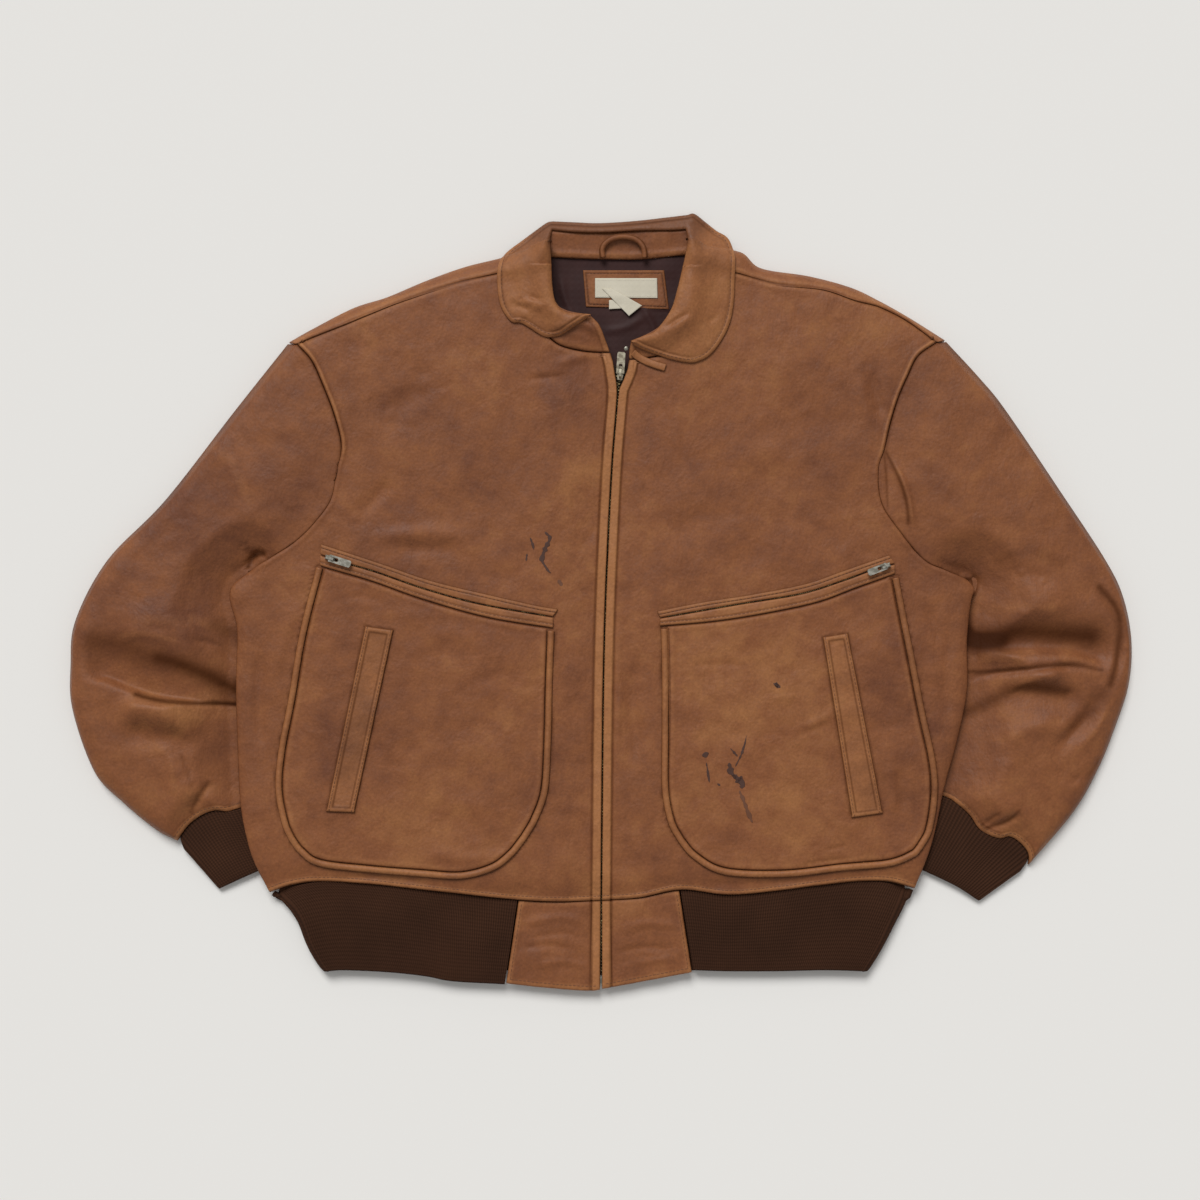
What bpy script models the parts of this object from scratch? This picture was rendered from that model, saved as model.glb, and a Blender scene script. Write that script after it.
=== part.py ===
"""Worn leather bomber jacket, zipped up and laid flat on its back.

Metres, +Z up, the floor at z = 0, +X toward the wearer's left, +Y toward the collar.
Every panel is a thin wall: a plan grid between four seam curves, with one height
field for its outer face and one for its inner face. Seam curves are read from the
photo in pixels (x right, y down) and turned to metres by the width of the chest.
"""

import bmesh
import bpy
import numpy as np

# Driving sizes
CHEST_WIDTH = 0.663
CHEST_PIXELS = 737
PX = CHEST_WIDTH / CHEST_PIXELS
PHOTO_MIDDLE = (600, 600)
VIEW_HEIGHT = 2.0

LEATHER = 0.002
KNIT = 0.0026
LINING = 0.001
GAP = 0.0003
SEAM_GAP = 0.0005
ARM_GAP = 0.0008
RIM = 0.0012
RIB_TO_SEAM = 3 * SEAM_GAP
CUFF_TO_SEAM = 2 * SEAM_GAP

BODY_HEIGHT = 0.0165
BODY_SWELL = 0.003
BODY_SWELL_REACH = 0.09
HEM_DIP = 0.0035
HEM_DIP_REACH = 0.014
ZIP_DIP = 0.003
ZIP_DIP_REACH = 0.030
SIDE_ROUND = 0.014
OUTLINE_ROUND = 0.020
SLEEVE_HEIGHT = 0.017
SLEEVE_SWELL = 0.005
SLEEVE_SWELL_REACH = 0.08
SLEEVE_ROUND = 0.018
FOLD_FADE = 0.03
ARM_BLEND = 0.045
SLEEVE_UNDER_BODY = 0.0051
SLEEVE_TUCK = 0.008
TUCK_SLOPE = 0.45
CUFF_TOP = 0.0074
CUFF_SEAM_TOP = 0.0085
CUFF_SLOPE = 0.5

# Under its side edges the body's back lies on sleeve and cuff: rise, reach, and photo rows of its two ends
SIDE_LIFT = 0.0082
SIDE_LIFT_WIDTH = 0.038
SIDE_LIFT_FALL = 0.072
SIDE_LIFT_ROWS = (528, 886)
SIDE_LIFT_FADES = (0.055, 0.036)

# Levels above the floor at which the seam curves lie, to undo the photo's perspective
EDGE_LEVEL = 0.004
TOP_LEVEL = 0.016
COLLAR_LEVEL = 0.016

# Seam curves in photo pixels; "right" is the wearer's right, on the photo's left
SHOULDER_SEAM = {
    "right": [(527, 266), (497, 274), (453, 284), (402, 301), (372, 313), (341, 326), (318, 335), (297, 344)],
    "left": [(706, 268), (735, 273), (777, 284), (823, 289), (855, 300), (881, 307), (908, 321), (937, 342)],
}
SHOULDER_LINE = {
    "right": [(527, 250), (500, 258), (464, 267), (425, 281), (387, 297), (353, 308), (312, 329), (289, 342)],
    "left": [(706, 247), (741, 252), (761, 268), (809, 276), (850, 287), (878, 300), (910, 318), (945, 340)],
}
ARMHOLE = {
    "right": [(297, 344), (312, 361), (324, 387), (334, 413), (341, 439), (341, 455), (337, 470), (331, 500),
              (314, 524), (295, 542), (272, 557), (249, 571)],
    "left": [(937, 342), (918, 356), (908, 375), (898, 398), (890, 424), (884, 450), (878, 470), (881, 503),
             (899, 531), (924, 560), (945, 570), (969, 580)],
}
BODY_SIDE = {
    "right": [(249, 571), (232, 585), (229, 600), (236, 630), (235, 680), (236, 730), (239, 797), (245, 835),
              (253, 862), (269, 893)],
    "left": [(969, 580), (975.5, 589), (972, 602), (968, 640), (968, 690), (958, 740), (946, 784), (938, 823),
             (929, 855), (915, 889)],
}
SLEEVE_EDGE = {
    "right": [(289, 342), (235, 410), (165, 500), (107, 560), (75, 620), (70, 665), (72, 710), (94, 772),
              (123, 803), (156, 830), (177, 841)],
    "left": [(945, 340), (980, 378), (1006, 410), (1060, 490), (1106, 560), (1124, 598), (1132, 642), (1129, 685),
             (1116, 726), (1099, 768), (1074, 812), (1029, 865)],
}
SLEEVE_INNER = {
    "right": [(249, 571), (254, 605), (264, 660), (269, 720), (272, 800)],
    "left": [(969, 580), (954, 610), (941, 660), (931, 720), (918, 790)],
}
CUFF_SEAM = {
    "right": [(177, 841), (189, 825), (202, 815), (216, 810), (229, 811), (244, 807), (272, 800)],
    "left": [(1029, 865), (1027, 852), (1019, 842), (1009, 836), (1000, 838), (989, 835), (978, 828), (969, 815),
             (957, 804), (945, 797), (918, 790)],
}
CUFF_END = {"right": [(219, 889), (240, 879), (292, 856)], "left": [(979, 901), (952, 884), (900, 860)]}
NECKLINE = {
    "right": [(527, 266), (530, 290), (540, 320), (555, 343), (582, 351.5), (610.5, 353)],
    "left": [(706, 268), (711, 292), (707, 318), (694, 338), (672, 352), (650, 358), (629, 360)],
}
ZIP_EDGE = {
    "right": [(610.5, 353), (613, 362), (614.5, 372), (616.5, 384), (616.5, 400), (611, 470), (606, 570),
              (603.4, 650), (602, 740), (600.6, 901)],
    "left": [(629, 360), (627.5, 370), (624, 379), (619.5, 389), (618, 402), (612.5, 470), (607.5, 570),
             (604.8, 650), (603.4, 740), (602.0, 901)],
}
HEM_SEAM = {
    "right": [(600.6, 901), (560, 902), (517, 900), (451, 893), (413, 889), (365, 884), (317, 882), (289, 886),
              (269, 893)],
    "left": [(602, 901), (639, 898), (681, 890), (728, 895), (779, 891), (817, 886), (855, 882), (888, 882),
             (915, 889)],
}
TAB_SHARE = {"right": 0.25, "left": 0.252}
HEM_TAB_END = {"right": [(599.5, 988.5), (585, 989.5), (540, 986), (506, 982)],
               "left": [(602.5, 987.5), (612, 986), (639, 981), (665, 976), (692, 971)]}
RIB_END = {"right": [(505, 983), (451, 980), (423, 975), (384, 971), (340, 969), (323, 970)],
           "left": [(693, 969), (728, 970), (779, 970), (830, 969), (868, 970)]}
RIB_SIDE = {"right": [(270, 894), (287, 905), (298, 921), (306, 942), (315, 959), (323, 970)],
            "left": [(914, 890), (905, 903), (896, 920), (886, 940), (877, 956), (868, 970)]}

# Neck pieces
COLLAR_ROLL = {
    "right": [(591, 315.5), (578, 314.4), (566, 313), (557, 306), (553, 290), (551.5, 262), (550, 240), (552, 229)],
    "left": [(686, 228), (687.5, 238), (686, 251), (681.6, 271), (676.5, 292), (670, 312), (656, 331), (643, 337),
             (630.6, 341.6)],
}
COLLAR_EDGE = {
    "right": [(587.5, 319), (572.6, 329), (561, 336), (550, 338), (541.7, 336), (529, 328), (520.7, 323.5),
              (511, 322), (501, 307), (497.5, 287), (498.2, 266), (505, 252), (522, 238), (544.5, 221),
              (552, 218.5)],
    "left": [(688, 212), (695, 210.8), (706, 219), (717.3, 228), (727.6, 234.4), (732.5, 244), (735, 258),
             (734.6, 280), (733.5, 304), (729, 325), (720, 343), (709.7, 355.6), (699.5, 361.4), (689.3, 363.3),
             (671.4, 360), (656, 355), (643.4, 350.5), (634, 346)],
}
COLLAR_BACK_SEAM = [(552, 229), (575, 231), (605, 231.5), (640, 229.5), (671, 229), (686, 228)]
COLLAR_BACK_EDGE = [(552, 218.5), (575, 219.5), (600, 220.4), (638, 218), (665, 214.8), (688, 212)]
STAND_ROLL = {"right": [(549, 264), (551, 284), (556, 303), (566, 311), (590, 316)],
              "left": [(683, 266), (679, 290), (671, 312), (657, 329), (631, 342)]}
STAND_FRONT = {"right": [(610, 352), (605, 339), (599, 325), (590, 316)],
               "left": [(629, 359), (629, 353), (630, 347), (631, 342)]}
BACK_STAND_TOP = [(555, 234), (575, 235), (605, 235.5), (640, 233.5), (671, 233), (683, 232.5)]
BACK_STAND_FOOT = [(553, 257), (587, 258.5), (612, 259), (641, 259), (683, 255)]
BACK_NECK = [(552, 247), (580, 250), (612, 251), (650, 250), (682, 246)]
LINING_FOOT = [(480, 440), (750, 440)]
LABEL_PATCH = [(583, 271), (664, 271), (669, 310), (586, 307.5)]
LABEL = [(595, 279), (657, 279), (657.5, 299), (595, 298.5)]
CARE_TAG = [(602, 289.5), (612, 289.5), (642, 306.5), (629, 317)]
CARE_TAG_END = [(609, 301), (617, 300), (627, 309), (609, 310)]
HANGER_LOOP = [(603, 259), (602, 249), (607, 242), (616, 238), (627, 237.5), (637, 240.5), (643.5, 248), (645, 259)]
THROAT_STRIP = [(633, 353), (638, 357), (645, 361), (655, 365), (665, 368)]
THROAT_STRIP_WIDTH = 0.0066

# Pockets
POCKET_BAND_TOP = {"right": [(322, 544), (380, 563), (433, 581), (487, 594), (535, 605), (558, 609)],
                   "left": [(657, 611), (702, 602), (753, 594), (804, 584), (842, 571), (888, 555)]}
POCKET_BAND_FOOT = {"right": [(321, 566), (372, 581), (423, 599), (487, 617), (553, 628)],
                    "left": [(660, 626), (715, 621), (766, 613), (817, 602), (855, 588), (894, 574)]}
POCKET_OUTER = {"right": [(320, 568), (303, 635), (292, 699), (282, 750), (279, 788), (285, 821), (292, 838)],
                "left": [(895, 578), (906, 635), (921, 711), (932, 762), (934, 795), (929, 829), (920, 846)]}
POCKET_INNER = {"right": [(551, 631), (549, 690), (548, 735), (545, 788), (535, 818), (524, 837)],
                "left": [(664, 629), (665, 673), (665, 737), (665, 788), (671, 821), (681, 840)]}
POCKET_FOOT = {"right": [(292, 838), (302, 851), (321, 863), (372, 869), (423, 873), (461, 875), (492, 867),
                         (511, 853), (524, 837)],
               "left": [(920, 846), (912, 854), (888, 863), (842, 867), (791, 873), (743, 873), (715, 868),
                        (693, 854), (681, 840)]}
HAND_WELT = {"right": [(366, 626), (394, 630), (355, 812), (327, 811)],
             "left": [(822, 637), (847, 633), (882, 813), (851, 817)]}
POCKET_ZIP = {"right": [(321, 555), (345, 563), (376, 572), (425, 589), (480, 604), (553, 617)],
              "left": [(894, 564), (872, 570), (842, 581), (800, 594), (740, 604), (660, 618)]}
PATCH_WALL = 0.0012
PIPING_WIDTH = 0.0062
PIPING_RISE = 0.0026

# The largest folds: path in photo pixels, half widths above and below it and height in metres
SLEEVE_FOLDS = {
    "right": [([(138, 622), (165, 618), (195, 620), (224, 630)], 0.020, 0.012, 0.0035),
              ([(112, 668), (150, 686), (196, 694), (240, 701)], 0.026, 0.0065, -0.0095),
              ([(142, 703), (176, 708), (206, 709), (240, 712)], 0.0055, 0.014, 0.0055),
              ([(140, 733), (165, 738), (195, 744), (230, 756)], 0.011, 0.014, -0.004)],
    "left": [([(966, 610), (1016, 608), (1050, 607)], 0.018, 0.010, 0.0035),
             ([(966, 645), (1000, 647), (1035, 645), (1070, 645), (1098, 654)], 0.022, 0.009, -0.0095),
             ([(966, 690), (1008, 679), (1050, 675)], 0.010, 0.007, 0.0055),
             ([(962, 722), (985, 708), (1000, 701), (1020, 693), (1066, 696)], 0.008, 0.018, -0.006)],
}

# Main zip: tape, its box, and the two photo rows that bound the hem tabs
ZIP_TAPE = [(619.5, 366), (618, 384), (617.2, 402), (611.8, 470), (606.8, 570), (604, 650), (602.7, 740),
            (601.3, 900), (600.8, 976)]
ZIP_TAPE_STEPS = np.array([0, 0.03, 0.09, 0.17, 0.26, 0.36, 0.46, 0.56, 0.66, 0.74, 0.80, 0.835, 0.86, 0.88, 0.94,
                           1.0])
ZIP_BOX = [(598.4, 977), (603.4, 977), (603.4, 987), (598.4, 987)]
TAB_ROWS = (901, 985)

# Zip hardware
SLIDER_PLACE = {"main": (620.2, 373.0), "right": (331, 558.2), "left": (884.5, 566.2)}
PULL_TOWARD = {"main": (621.5, 352.5), "right": (352.5, 565), "left": (866, 573.5)}
SLIDER_LENGTH = {"main": 0.0125, "right": 0.009, "left": 0.009}
SLIDER_WIDTH = {"main": 0.0072, "right": 0.0058, "left": 0.0058}
SLIDER_DEPTH = {"main": 0.0022, "right": 0.0014, "left": 0.0014}
CROWN_HALF = 0.0043
CROWN_WIDTH = 0.0022
CROWN_CLEAR = 0.0030
CROWN_WALL = 0.0011
PULL_LENGTH = {"main": 0.0185, "right": 0.0195, "left": 0.0170}
PULL_WIDTH = {"main": 0.0072, "right": 0.0064, "left": 0.0060}
PULL_THICKNESS = 0.0014
PULL_BAR = 0.0014
PULL_SLOT = (0.0032, 0.0078)
PULL_SOFT = 0.0012
PULL_NECK = 0.003
SLOT_SOFT = 0.0008
SLOT_CORNER = 0.0003
SLIDER_TAIL = 0.6
CROWN_DOWN = 0.0006
CROWN_SHOULDER = 0.0010
CROWN_DROP = 0.0002
WELT_BOW = 1.15
HINGE_RISE = 0.0016

BACK_TIP = 0.035
YOKE_INSET = 0.0075
LINING_INSET = 0.002
STAND_RISE = 0.004
STAND_WIDTH = 0.020
COLLAR_WALL = 0.0022
COLLAR_CLEAR = 0.0009
COLLAR_FALL = 0.016
COLLAR_OVER_ROLL = 0.0026
OVER_ROLL_AT = 0.008
OVER_ROLL_REACH = 0.020
COLLAR_ROWS = np.array([0, 0.1, 0.25, 0.5, 0.75, 0.92, 1.0])
COLLAR_CREST_SIDE = np.array([0.35, 0.8, 1.0, 0.66, 0.28, 0.06, 0.0])
COLLAR_CREST_BACK = np.array([0.85, 0.95, 1.0, 0.95, 0.78, 0.42, 0.0])
COLLAR_CREST = {"right": [0.0012, 0.003, 0.0055, 0.0065, 0.0068, 0.0085, 0.0070],
                "left": [0.0070, 0.0085, 0.0068, 0.0065, 0.0055, 0.003, 0.0012]}
STAND_BACK_TOP = 0.0082
STAND_BACK_FALL = 0.002
WELT_WALL = 0.0016
ON_FRONT = 0.0007
ZIP_MOUTH = 0.0012
ZIP_TAPE_WIDTH = 0.014
TAPE_WALL = 0.0016
TAPE_DOWN = 0.0029
TAB_TOP = 0.0135
RIB_TOP = 0.0130
RIB_FALL = 0.0015
TAB_BESIDE_ZIP = 0.0004
LOOP_RADIUS = 0.0026
LOOP_ROWS = (232, 258)
LINING_TOP = LEATHER + GAP + LINING
PAPER = 0.0006

SIDES = ("right", "left")
ARM_SPLIT = 0.47
ARM_UPPER = np.array([0, 0.025, 0.08, 0.20, 0.38, 0.58, 0.79, 1.0])
ARM_LOWER = np.array([0.15, 0.31, 0.48, 0.65, 0.83, 1.0])
ARM_STEPS = np.concatenate([ARM_UPPER * ARM_SPLIT, ARM_SPLIT + ARM_LOWER * (1 - ARM_SPLIT)])
NECK_STEPS = ARM_STEPS[:9] / ARM_STEPS[8]
SIDE_STEPS = np.array([0.06, 0.14, 0.25, 0.38, 0.52, 0.68, 0.84, 0.94, 1.0])
BODY_ROWS = np.concatenate([ARM_STEPS * 0.45, 0.45 + SIDE_STEPS * 0.55])
EDGE_INSETS = np.array([0.009, 0.0035, 0.0])
FRONT_WIDTH = 0.32
FRONT_COLUMNS = np.array([0, 0.04, 0.12, 0.24, 0.38, 0.52, 0.66, 0.79, 0.90, 1.0])
YOKE_COLUMNS = np.concatenate([FRONT_COLUMNS * (1 - EDGE_INSETS[0] / FRONT_WIDTH), 1 - EDGE_INSETS[1:] / FRONT_WIDTH])
BACK_COLUMNS = np.array([0, 0.05, 0.11, 0.18, 0.27, 0.38, 0.5, 0.62, 0.73, 0.82, 0.89, 0.95, 1.0])
OUTER_ROWS = np.array([0.004, 0.08, 0.16, 0.23, 0.30, 0.37, 0.43, 0.48, 0.53, 0.575, 0.615, 0.655, 0.695, 0.74,
                       0.79, 0.85, 0.91, 0.96, 1.0])
INNER_ROWS = np.linspace(0, 1, len(OUTER_ROWS) - len(ARM_LOWER))[1:]


def plan(points, level=0.0):
    """Photo pixels to metres on the plan: scaled about the middle, less the lens's spread at that level."""
    scale = PX * (1 - level / VIEW_HEIGHT)
    return (np.asarray(points, float) - PHOTO_MIDDLE) * (scale, -scale)


def spline(points, steps=10):
    """Catmull-Rom curve through the points as a dense polyline."""
    p = np.asarray(points, float)
    p = np.vstack([2 * p[0] - p[1], p, 2 * p[-1] - p[-2]])
    t = np.linspace(0, 1, steps, endpoint=False)[None, :, None]
    a, b, c, d = (p[i:len(p) - 3 + i, None, :] for i in range(4))
    curve = 2 * b + (c - a) * t + (2 * a - 5 * b + 4 * c - d) * t**2 + (3 * b - a - 3 * c + d) * t**3
    return np.vstack([0.5 * curve.reshape(-1, p.shape[1]), p[-2]])


def along(line, shares):
    """Points of a polyline at shares of its length."""
    length = np.concatenate([[0], np.cumsum(np.linalg.norm(np.diff(line, axis=0), axis=1))])
    where = np.asarray(shares) * length[-1]
    return np.stack([np.interp(where, length, axis) for axis in line.T], axis=-1)


def beside(line, offset):
    """The polyline moved sideways by an offset, to its left when positive."""
    step = np.gradient(line, axis=0)
    step /= np.linalg.norm(step, axis=1, keepdims=True)
    return line + offset * np.stack([-step[:, 1], step[:, 0]], axis=1)


def distance(points, line):
    """Least distance from each point to the segments of a polyline."""
    best = np.full(points.shape[:-1], np.inf)
    for start, end in zip(line[:-1], line[1:]):
        step = end - start
        share = np.clip((points - start) @ step / max(step @ step, 1e-12), 0, 1)
        best = np.minimum(best, np.linalg.norm(points - start - share[..., None] * step, axis=-1))
    return best


def inside(points, loop):
    """True where a point lies within a closed outline, by counting the edges to its right."""
    x, y = points[..., 0], points[..., 1]
    odd = np.zeros(x.shape, bool)
    for (x0, y0), (x1, y1) in zip(loop, np.roll(loop, -1, axis=0)):
        if y0 != y1:
            odd ^= ((y0 > y) != (y1 > y)) & (x < x0 + (y - y0) * (x1 - x0) / (y1 - y0))
    return odd


def ease(share):
    """Smooth step from 0 to 1."""
    s = np.clip(share, 0, 1)
    return s * s * (3 - 2 * s)


def rounded(d, radius):
    """Quarter circle from 0 at the edge to 1 at the radius."""
    return np.sqrt(1 - (1 - np.clip(d / radius, 0, 1))**2)


def soft_least(a, b, blend=0.002):
    """The lesser of two fields with a soft change from one to the other."""
    share = np.clip(blend - np.abs(a - b), 0, None) / blend
    return np.minimum(a, b) - share**2 * blend / 4


def coons(foot, head, near, far, u, v):
    """Plan grid [u, v] between four edges: foot and head run along u, near and far along v."""
    foot, head, near, far = foot[:, None], head[:, None], near[None], far[None]
    u, v = u[:, None, None], v[None, :, None]
    ruled = (1 - v) * foot + v * head + (1 - u) * near + u * far
    corners = (1 - u) * ((1 - v) * foot[:1] + v * head[:1]) + u * ((1 - v) * foot[-1:] + v * head[-1:])
    return ruled - corners


SHOULDERS = [spline(plan(SHOULDER_LINE[s], EDGE_LEVEL)) for s in SIDES]
SLEEVE_EDGES = {s: spline(plan(SLEEVE_EDGE[s], EDGE_LEVEL)) for s in SIDES}
BODY_SIDES = {s: spline(plan(BODY_SIDE[s], TOP_LEVEL)) for s in SIDES}
ARMHOLES = {s: spline(plan(ARMHOLE[s], TOP_LEVEL)) for s in SIDES}
SLEEVE_INNERS = {s: spline(plan(SLEEVE_INNER[s])) for s in SIDES}
HEM_SEAMS = {s: spline(plan(HEM_SEAM[s], TOP_LEVEL)) for s in SIDES}
CUFF_SEAMS = {s: spline(plan(CUFF_SEAM[s], EDGE_LEVEL)) for s in SIDES}
NECKLINES = {s: spline(plan(NECKLINE[s], TOP_LEVEL)) for s in SIDES}
ZIP_EDGES = {s: spline(plan(ZIP_EDGE[s], TOP_LEVEL)) for s in SIDES}
SHOULDER_SEAMS = {s: spline(plan(SHOULDER_SEAM[s], TOP_LEVEL)) for s in SIDES}


def side_lift(p):
    """How far the body's back is held up by the sleeve and cuff under its side edges."""
    d = np.minimum(distance(p, BODY_SIDES["right"]), distance(p, BODY_SIDES["left"]))
    top, foot = (-plan((600, row))[1] for row in SIDE_LIFT_ROWS)
    down = -p[..., 1]
    window = ease((down - top) / SIDE_LIFT_FADES[0]) * (1 - ease((down - foot) / SIDE_LIFT_FADES[1]))
    return SIDE_LIFT * (1 - ease((d - SIDE_LIFT_WIDTH) / SIDE_LIFT_FALL)) * window


def outline_distance(p):
    """Distance to the garment's outline along shoulders and outer sleeves."""
    lines = SHOULDERS + list(SLEEVE_EDGES.values())
    return np.minimum.reduce([distance(p, line) for line in lines])


def body_top(p):
    """Outer face of fronts and shoulders: rounded edges, a flat lie and a low swell in the middle."""
    d_side = np.minimum(distance(p, BODY_SIDES["right"]), distance(p, BODY_SIDES["left"]))
    d_out = outline_distance(p)
    rest = side_lift(p) + LEATHER + GAP + RIM
    high = BODY_HEIGHT + BODY_SWELL * ease(d_side / BODY_SWELL_REACH) * ease(d_out / BODY_SWELL_REACH)
    d_hem = np.minimum(distance(p, HEM_SEAMS["right"]), distance(p, HEM_SEAMS["left"]))
    high = high - HEM_DIP * np.exp(-(d_hem / HEM_DIP_REACH)**2)
    d_zip = np.minimum(distance(p, ZIP_EDGES["right"]), distance(p, ZIP_EDGES["left"]))
    high = high - ZIP_DIP * np.exp(-(d_zip / ZIP_DIP_REACH)**2)
    return rest + (high - rest) * rounded(d_side, SIDE_ROUND) * rounded(d_out, OUTLINE_ROUND)


def lean(p, line):
    """Distance to a polyline, and how far to its left (1) or right (-1) a point lies."""
    best, side = np.full(p.shape[:-1], np.inf), np.zeros(p.shape[:-1])
    for start, end in zip(line[:-1], line[1:]):
        step = end - start
        offset = p - start
        share = np.clip(offset @ step / (step @ step), 0, 1)
        d = np.linalg.norm(offset - share[..., None] * step, axis=-1)
        across = (step[0] * offset[..., 1] - step[1] * offset[..., 0]) / np.linalg.norm(step)
        side = np.where(d < best, across / np.maximum(d, 1e-9), side)
        best = np.minimum(best, d)
    return best, side


def sleeve_folds(p, side):
    """Sum of soft ridges and troughs: bells that may fall off faster below their path than above it."""
    total = np.zeros(p.shape[:-1])
    for path, above, below, height in SLEEVE_FOLDS[side]:
        d, left = lean(p, spline(plan(path, TOP_LEVEL), 6))
        width = above * (1 + left) / 2 + below * (1 - left) / 2
        total += height * np.exp(-(d / width)**2)
    return total


def sleeve_top(p, side):
    """Outer face of a sleeve: rounded outer edge, folds, level with the body at the armhole, low under it."""
    edge = SLEEVE_EDGES[side]
    d_out = distance(p, edge)
    rest = LEATHER + GAP + RIM
    puff = (SLEEVE_HEIGHT - rest) * rounded(d_out, SLEEVE_ROUND) + SLEEVE_SWELL * ease(d_out / SLEEVE_SWELL_REACH)
    free = rest + puff + sleeve_folds(p, side) * ease(d_out / FOLD_FADE)
    d_arm = distance(p, ARMHOLES[side])
    share = ease(d_arm / ARM_BLEND)
    joined = body_top(p) * (1 - share) + free * share
    middle = plan([(430, 893), (430, 571)] if side == "right" else [(770, 889), (770, 580)])
    under = inside(p, np.vstack([BODY_SIDES[side], middle]))
    d_side = np.where(under, 0, distance(p, BODY_SIDES[side]))
    d_cuff = distance(p, CUFF_SEAMS[side])
    top = soft_least(joined, SLEEVE_UNDER_BODY + TUCK_SLOPE * np.clip(d_side - SLEEVE_TUCK, 0, None))
    return soft_least(top, CUFF_SEAM_TOP + CUFF_SLOPE * d_cuff)


def slope(field, p):
    """Length of a height field's gradient, by small steps."""
    step = 0.0005
    dx = field(p + (step, 0)) - field(p - (step, 0))
    dy = field(p + (0, step)) - field(p - (0, step))
    return np.hypot(dx, dy) / (2 * step)


def wall_below(field, p, thickness, floor):
    """Inner face under a height field: the wall's thickness straight through it, kept above what it lies on."""
    down = thickness * np.sqrt(1 + np.clip(slope(field, p), 0, 2.5)**2)
    return np.maximum(field(p) - down, floor)


def clear_scene():
    for item in list(bpy.data.objects):
        bpy.data.objects.remove(item, do_unlink=True)


def material(name, colour, rough, metal=0.0):
    """Principled BSDF with a base colour (linear), roughness and metallic value."""
    made = bpy.data.materials.new(name)
    made.use_nodes = True
    shader = made.node_tree.nodes["Principled BSDF"]
    shader.inputs["Base Color"].default_value = (*colour, 1)
    shader.inputs["Roughness"].default_value = rough
    shader.inputs["Metallic"].default_value = metal
    return made


FINISH = {
    "leather": ((0.245, 0.107, 0.050), 0.55, 0.0),
    "tan leather": ((0.330, 0.150, 0.064), 0.55, 0.0),
    "knit": ((0.045, 0.022, 0.014), 0.9, 0.0),
    "lining": ((0.050, 0.026, 0.026), 0.6, 0.0),
    "label cloth": ((0.690, 0.640, 0.530), 0.8, 0.0),
    "brass": ((0.400, 0.330, 0.190), 0.4, 1.0),
}


def add(name, points, faces, finish, smooth=True):
    """Makes one named object from points and faces, with a material of its own."""
    mesh = bpy.data.meshes.new(name)
    mesh.from_pydata(np.asarray(points, float).tolist(), [], [list(map(int, f)) for f in faces])
    mesh.validate()
    made = bpy.data.objects.new(name, mesh)
    bpy.context.scene.collection.objects.link(made)
    mesh.materials.append(material(name, *FINISH[finish]))
    if smooth:
        mesh.shade_smooth()
        mesh.set_sharp_from_angle(angle=0.9)
    return made


def quads(rows, columns, start=0, wrap=False):
    """Corner numbers of the cells of a point grid."""
    i = np.arange(rows - 1)[:, None]
    j = np.arange(columns if wrap else columns - 1)[None]
    k = (j + 1) % columns
    cells = np.stack(np.broadcast_arrays(i * columns + j, (i + 1) * columns + j, (i + 1) * columns + k,
                                         i * columns + k), axis=-1)
    return cells.reshape(-1, 4) + start


def signed_volume(points, faces):
    """Volume by the fan of each face from the origin; negative when faces point inwards."""
    p = np.asarray(points)[np.asarray(faces)]
    first = np.einsum("ij,ij->i", p[:, 0], np.cross(p[:, 1], p[:, 2])).sum()
    return first + np.einsum("ij,ij->i", p[:, 0], np.cross(p[:, 2], p[:, 3])).sum()


FLIP = [0, 3, 2, 1]


def shell(name, outer, inner, finish, ring=False):
    """Closed wall between two point grids of one size; a ring is open only at its first and last rows.

    Flipped faces keep their first corner, so that both sides of a wall are split along one diagonal.
    """
    rows, columns = outer.shape[:2]
    count = rows * columns
    points = np.vstack([outer.reshape(-1, 3), inner.reshape(-1, 3)])
    number = np.arange(count).reshape(rows, columns)
    faces = [quads(rows, columns, 0, ring), quads(rows, columns, count, ring)[:, FLIP]]
    if ring:
        borders = [np.append(number[0], number[0, 0]), np.append(number[-1], number[-1, 0])[::-1]]
    else:
        borders = [np.concatenate([number[0], number[1:, -1], number[-1, -2::-1], number[-2::-1, 0]])]
    for border in borders:
        faces.append(np.stack([border[:-1], border[1:], border[1:] + count, border[:-1] + count], axis=1))
    faces = np.vstack(faces)
    if signed_volume(points, faces) < 0:
        faces = faces[:, FLIP]
    return add(name, points, faces, finish)


def slab(name, grid, top, foot, finish):
    """Wall between two height fields over one plan grid."""
    return shell(name, np.dstack([grid, top]), np.dstack([grid, foot]), finish)


def prism(name, outline, foot, top, finish):
    """Four-sided slab; foot and top are heights of its corners."""
    corners = np.asarray(outline, float)
    grid = corners[[0, 1, 3, 2]].reshape(2, 2, 2)
    order = np.broadcast_to(np.asarray(foot, float), 4), np.broadcast_to(np.asarray(top, float), 4)
    low, high = (level[[0, 1, 3, 2]].reshape(2, 2) for level in order)
    return slab(name, grid, high, low, finish)


def outer_edge(side, arm=ARM_STEPS):
    """Points down the armhole and then the side edge."""
    return np.vstack([along(ARMHOLES[side], arm), along(BODY_SIDES[side], SIDE_STEPS)])


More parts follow.
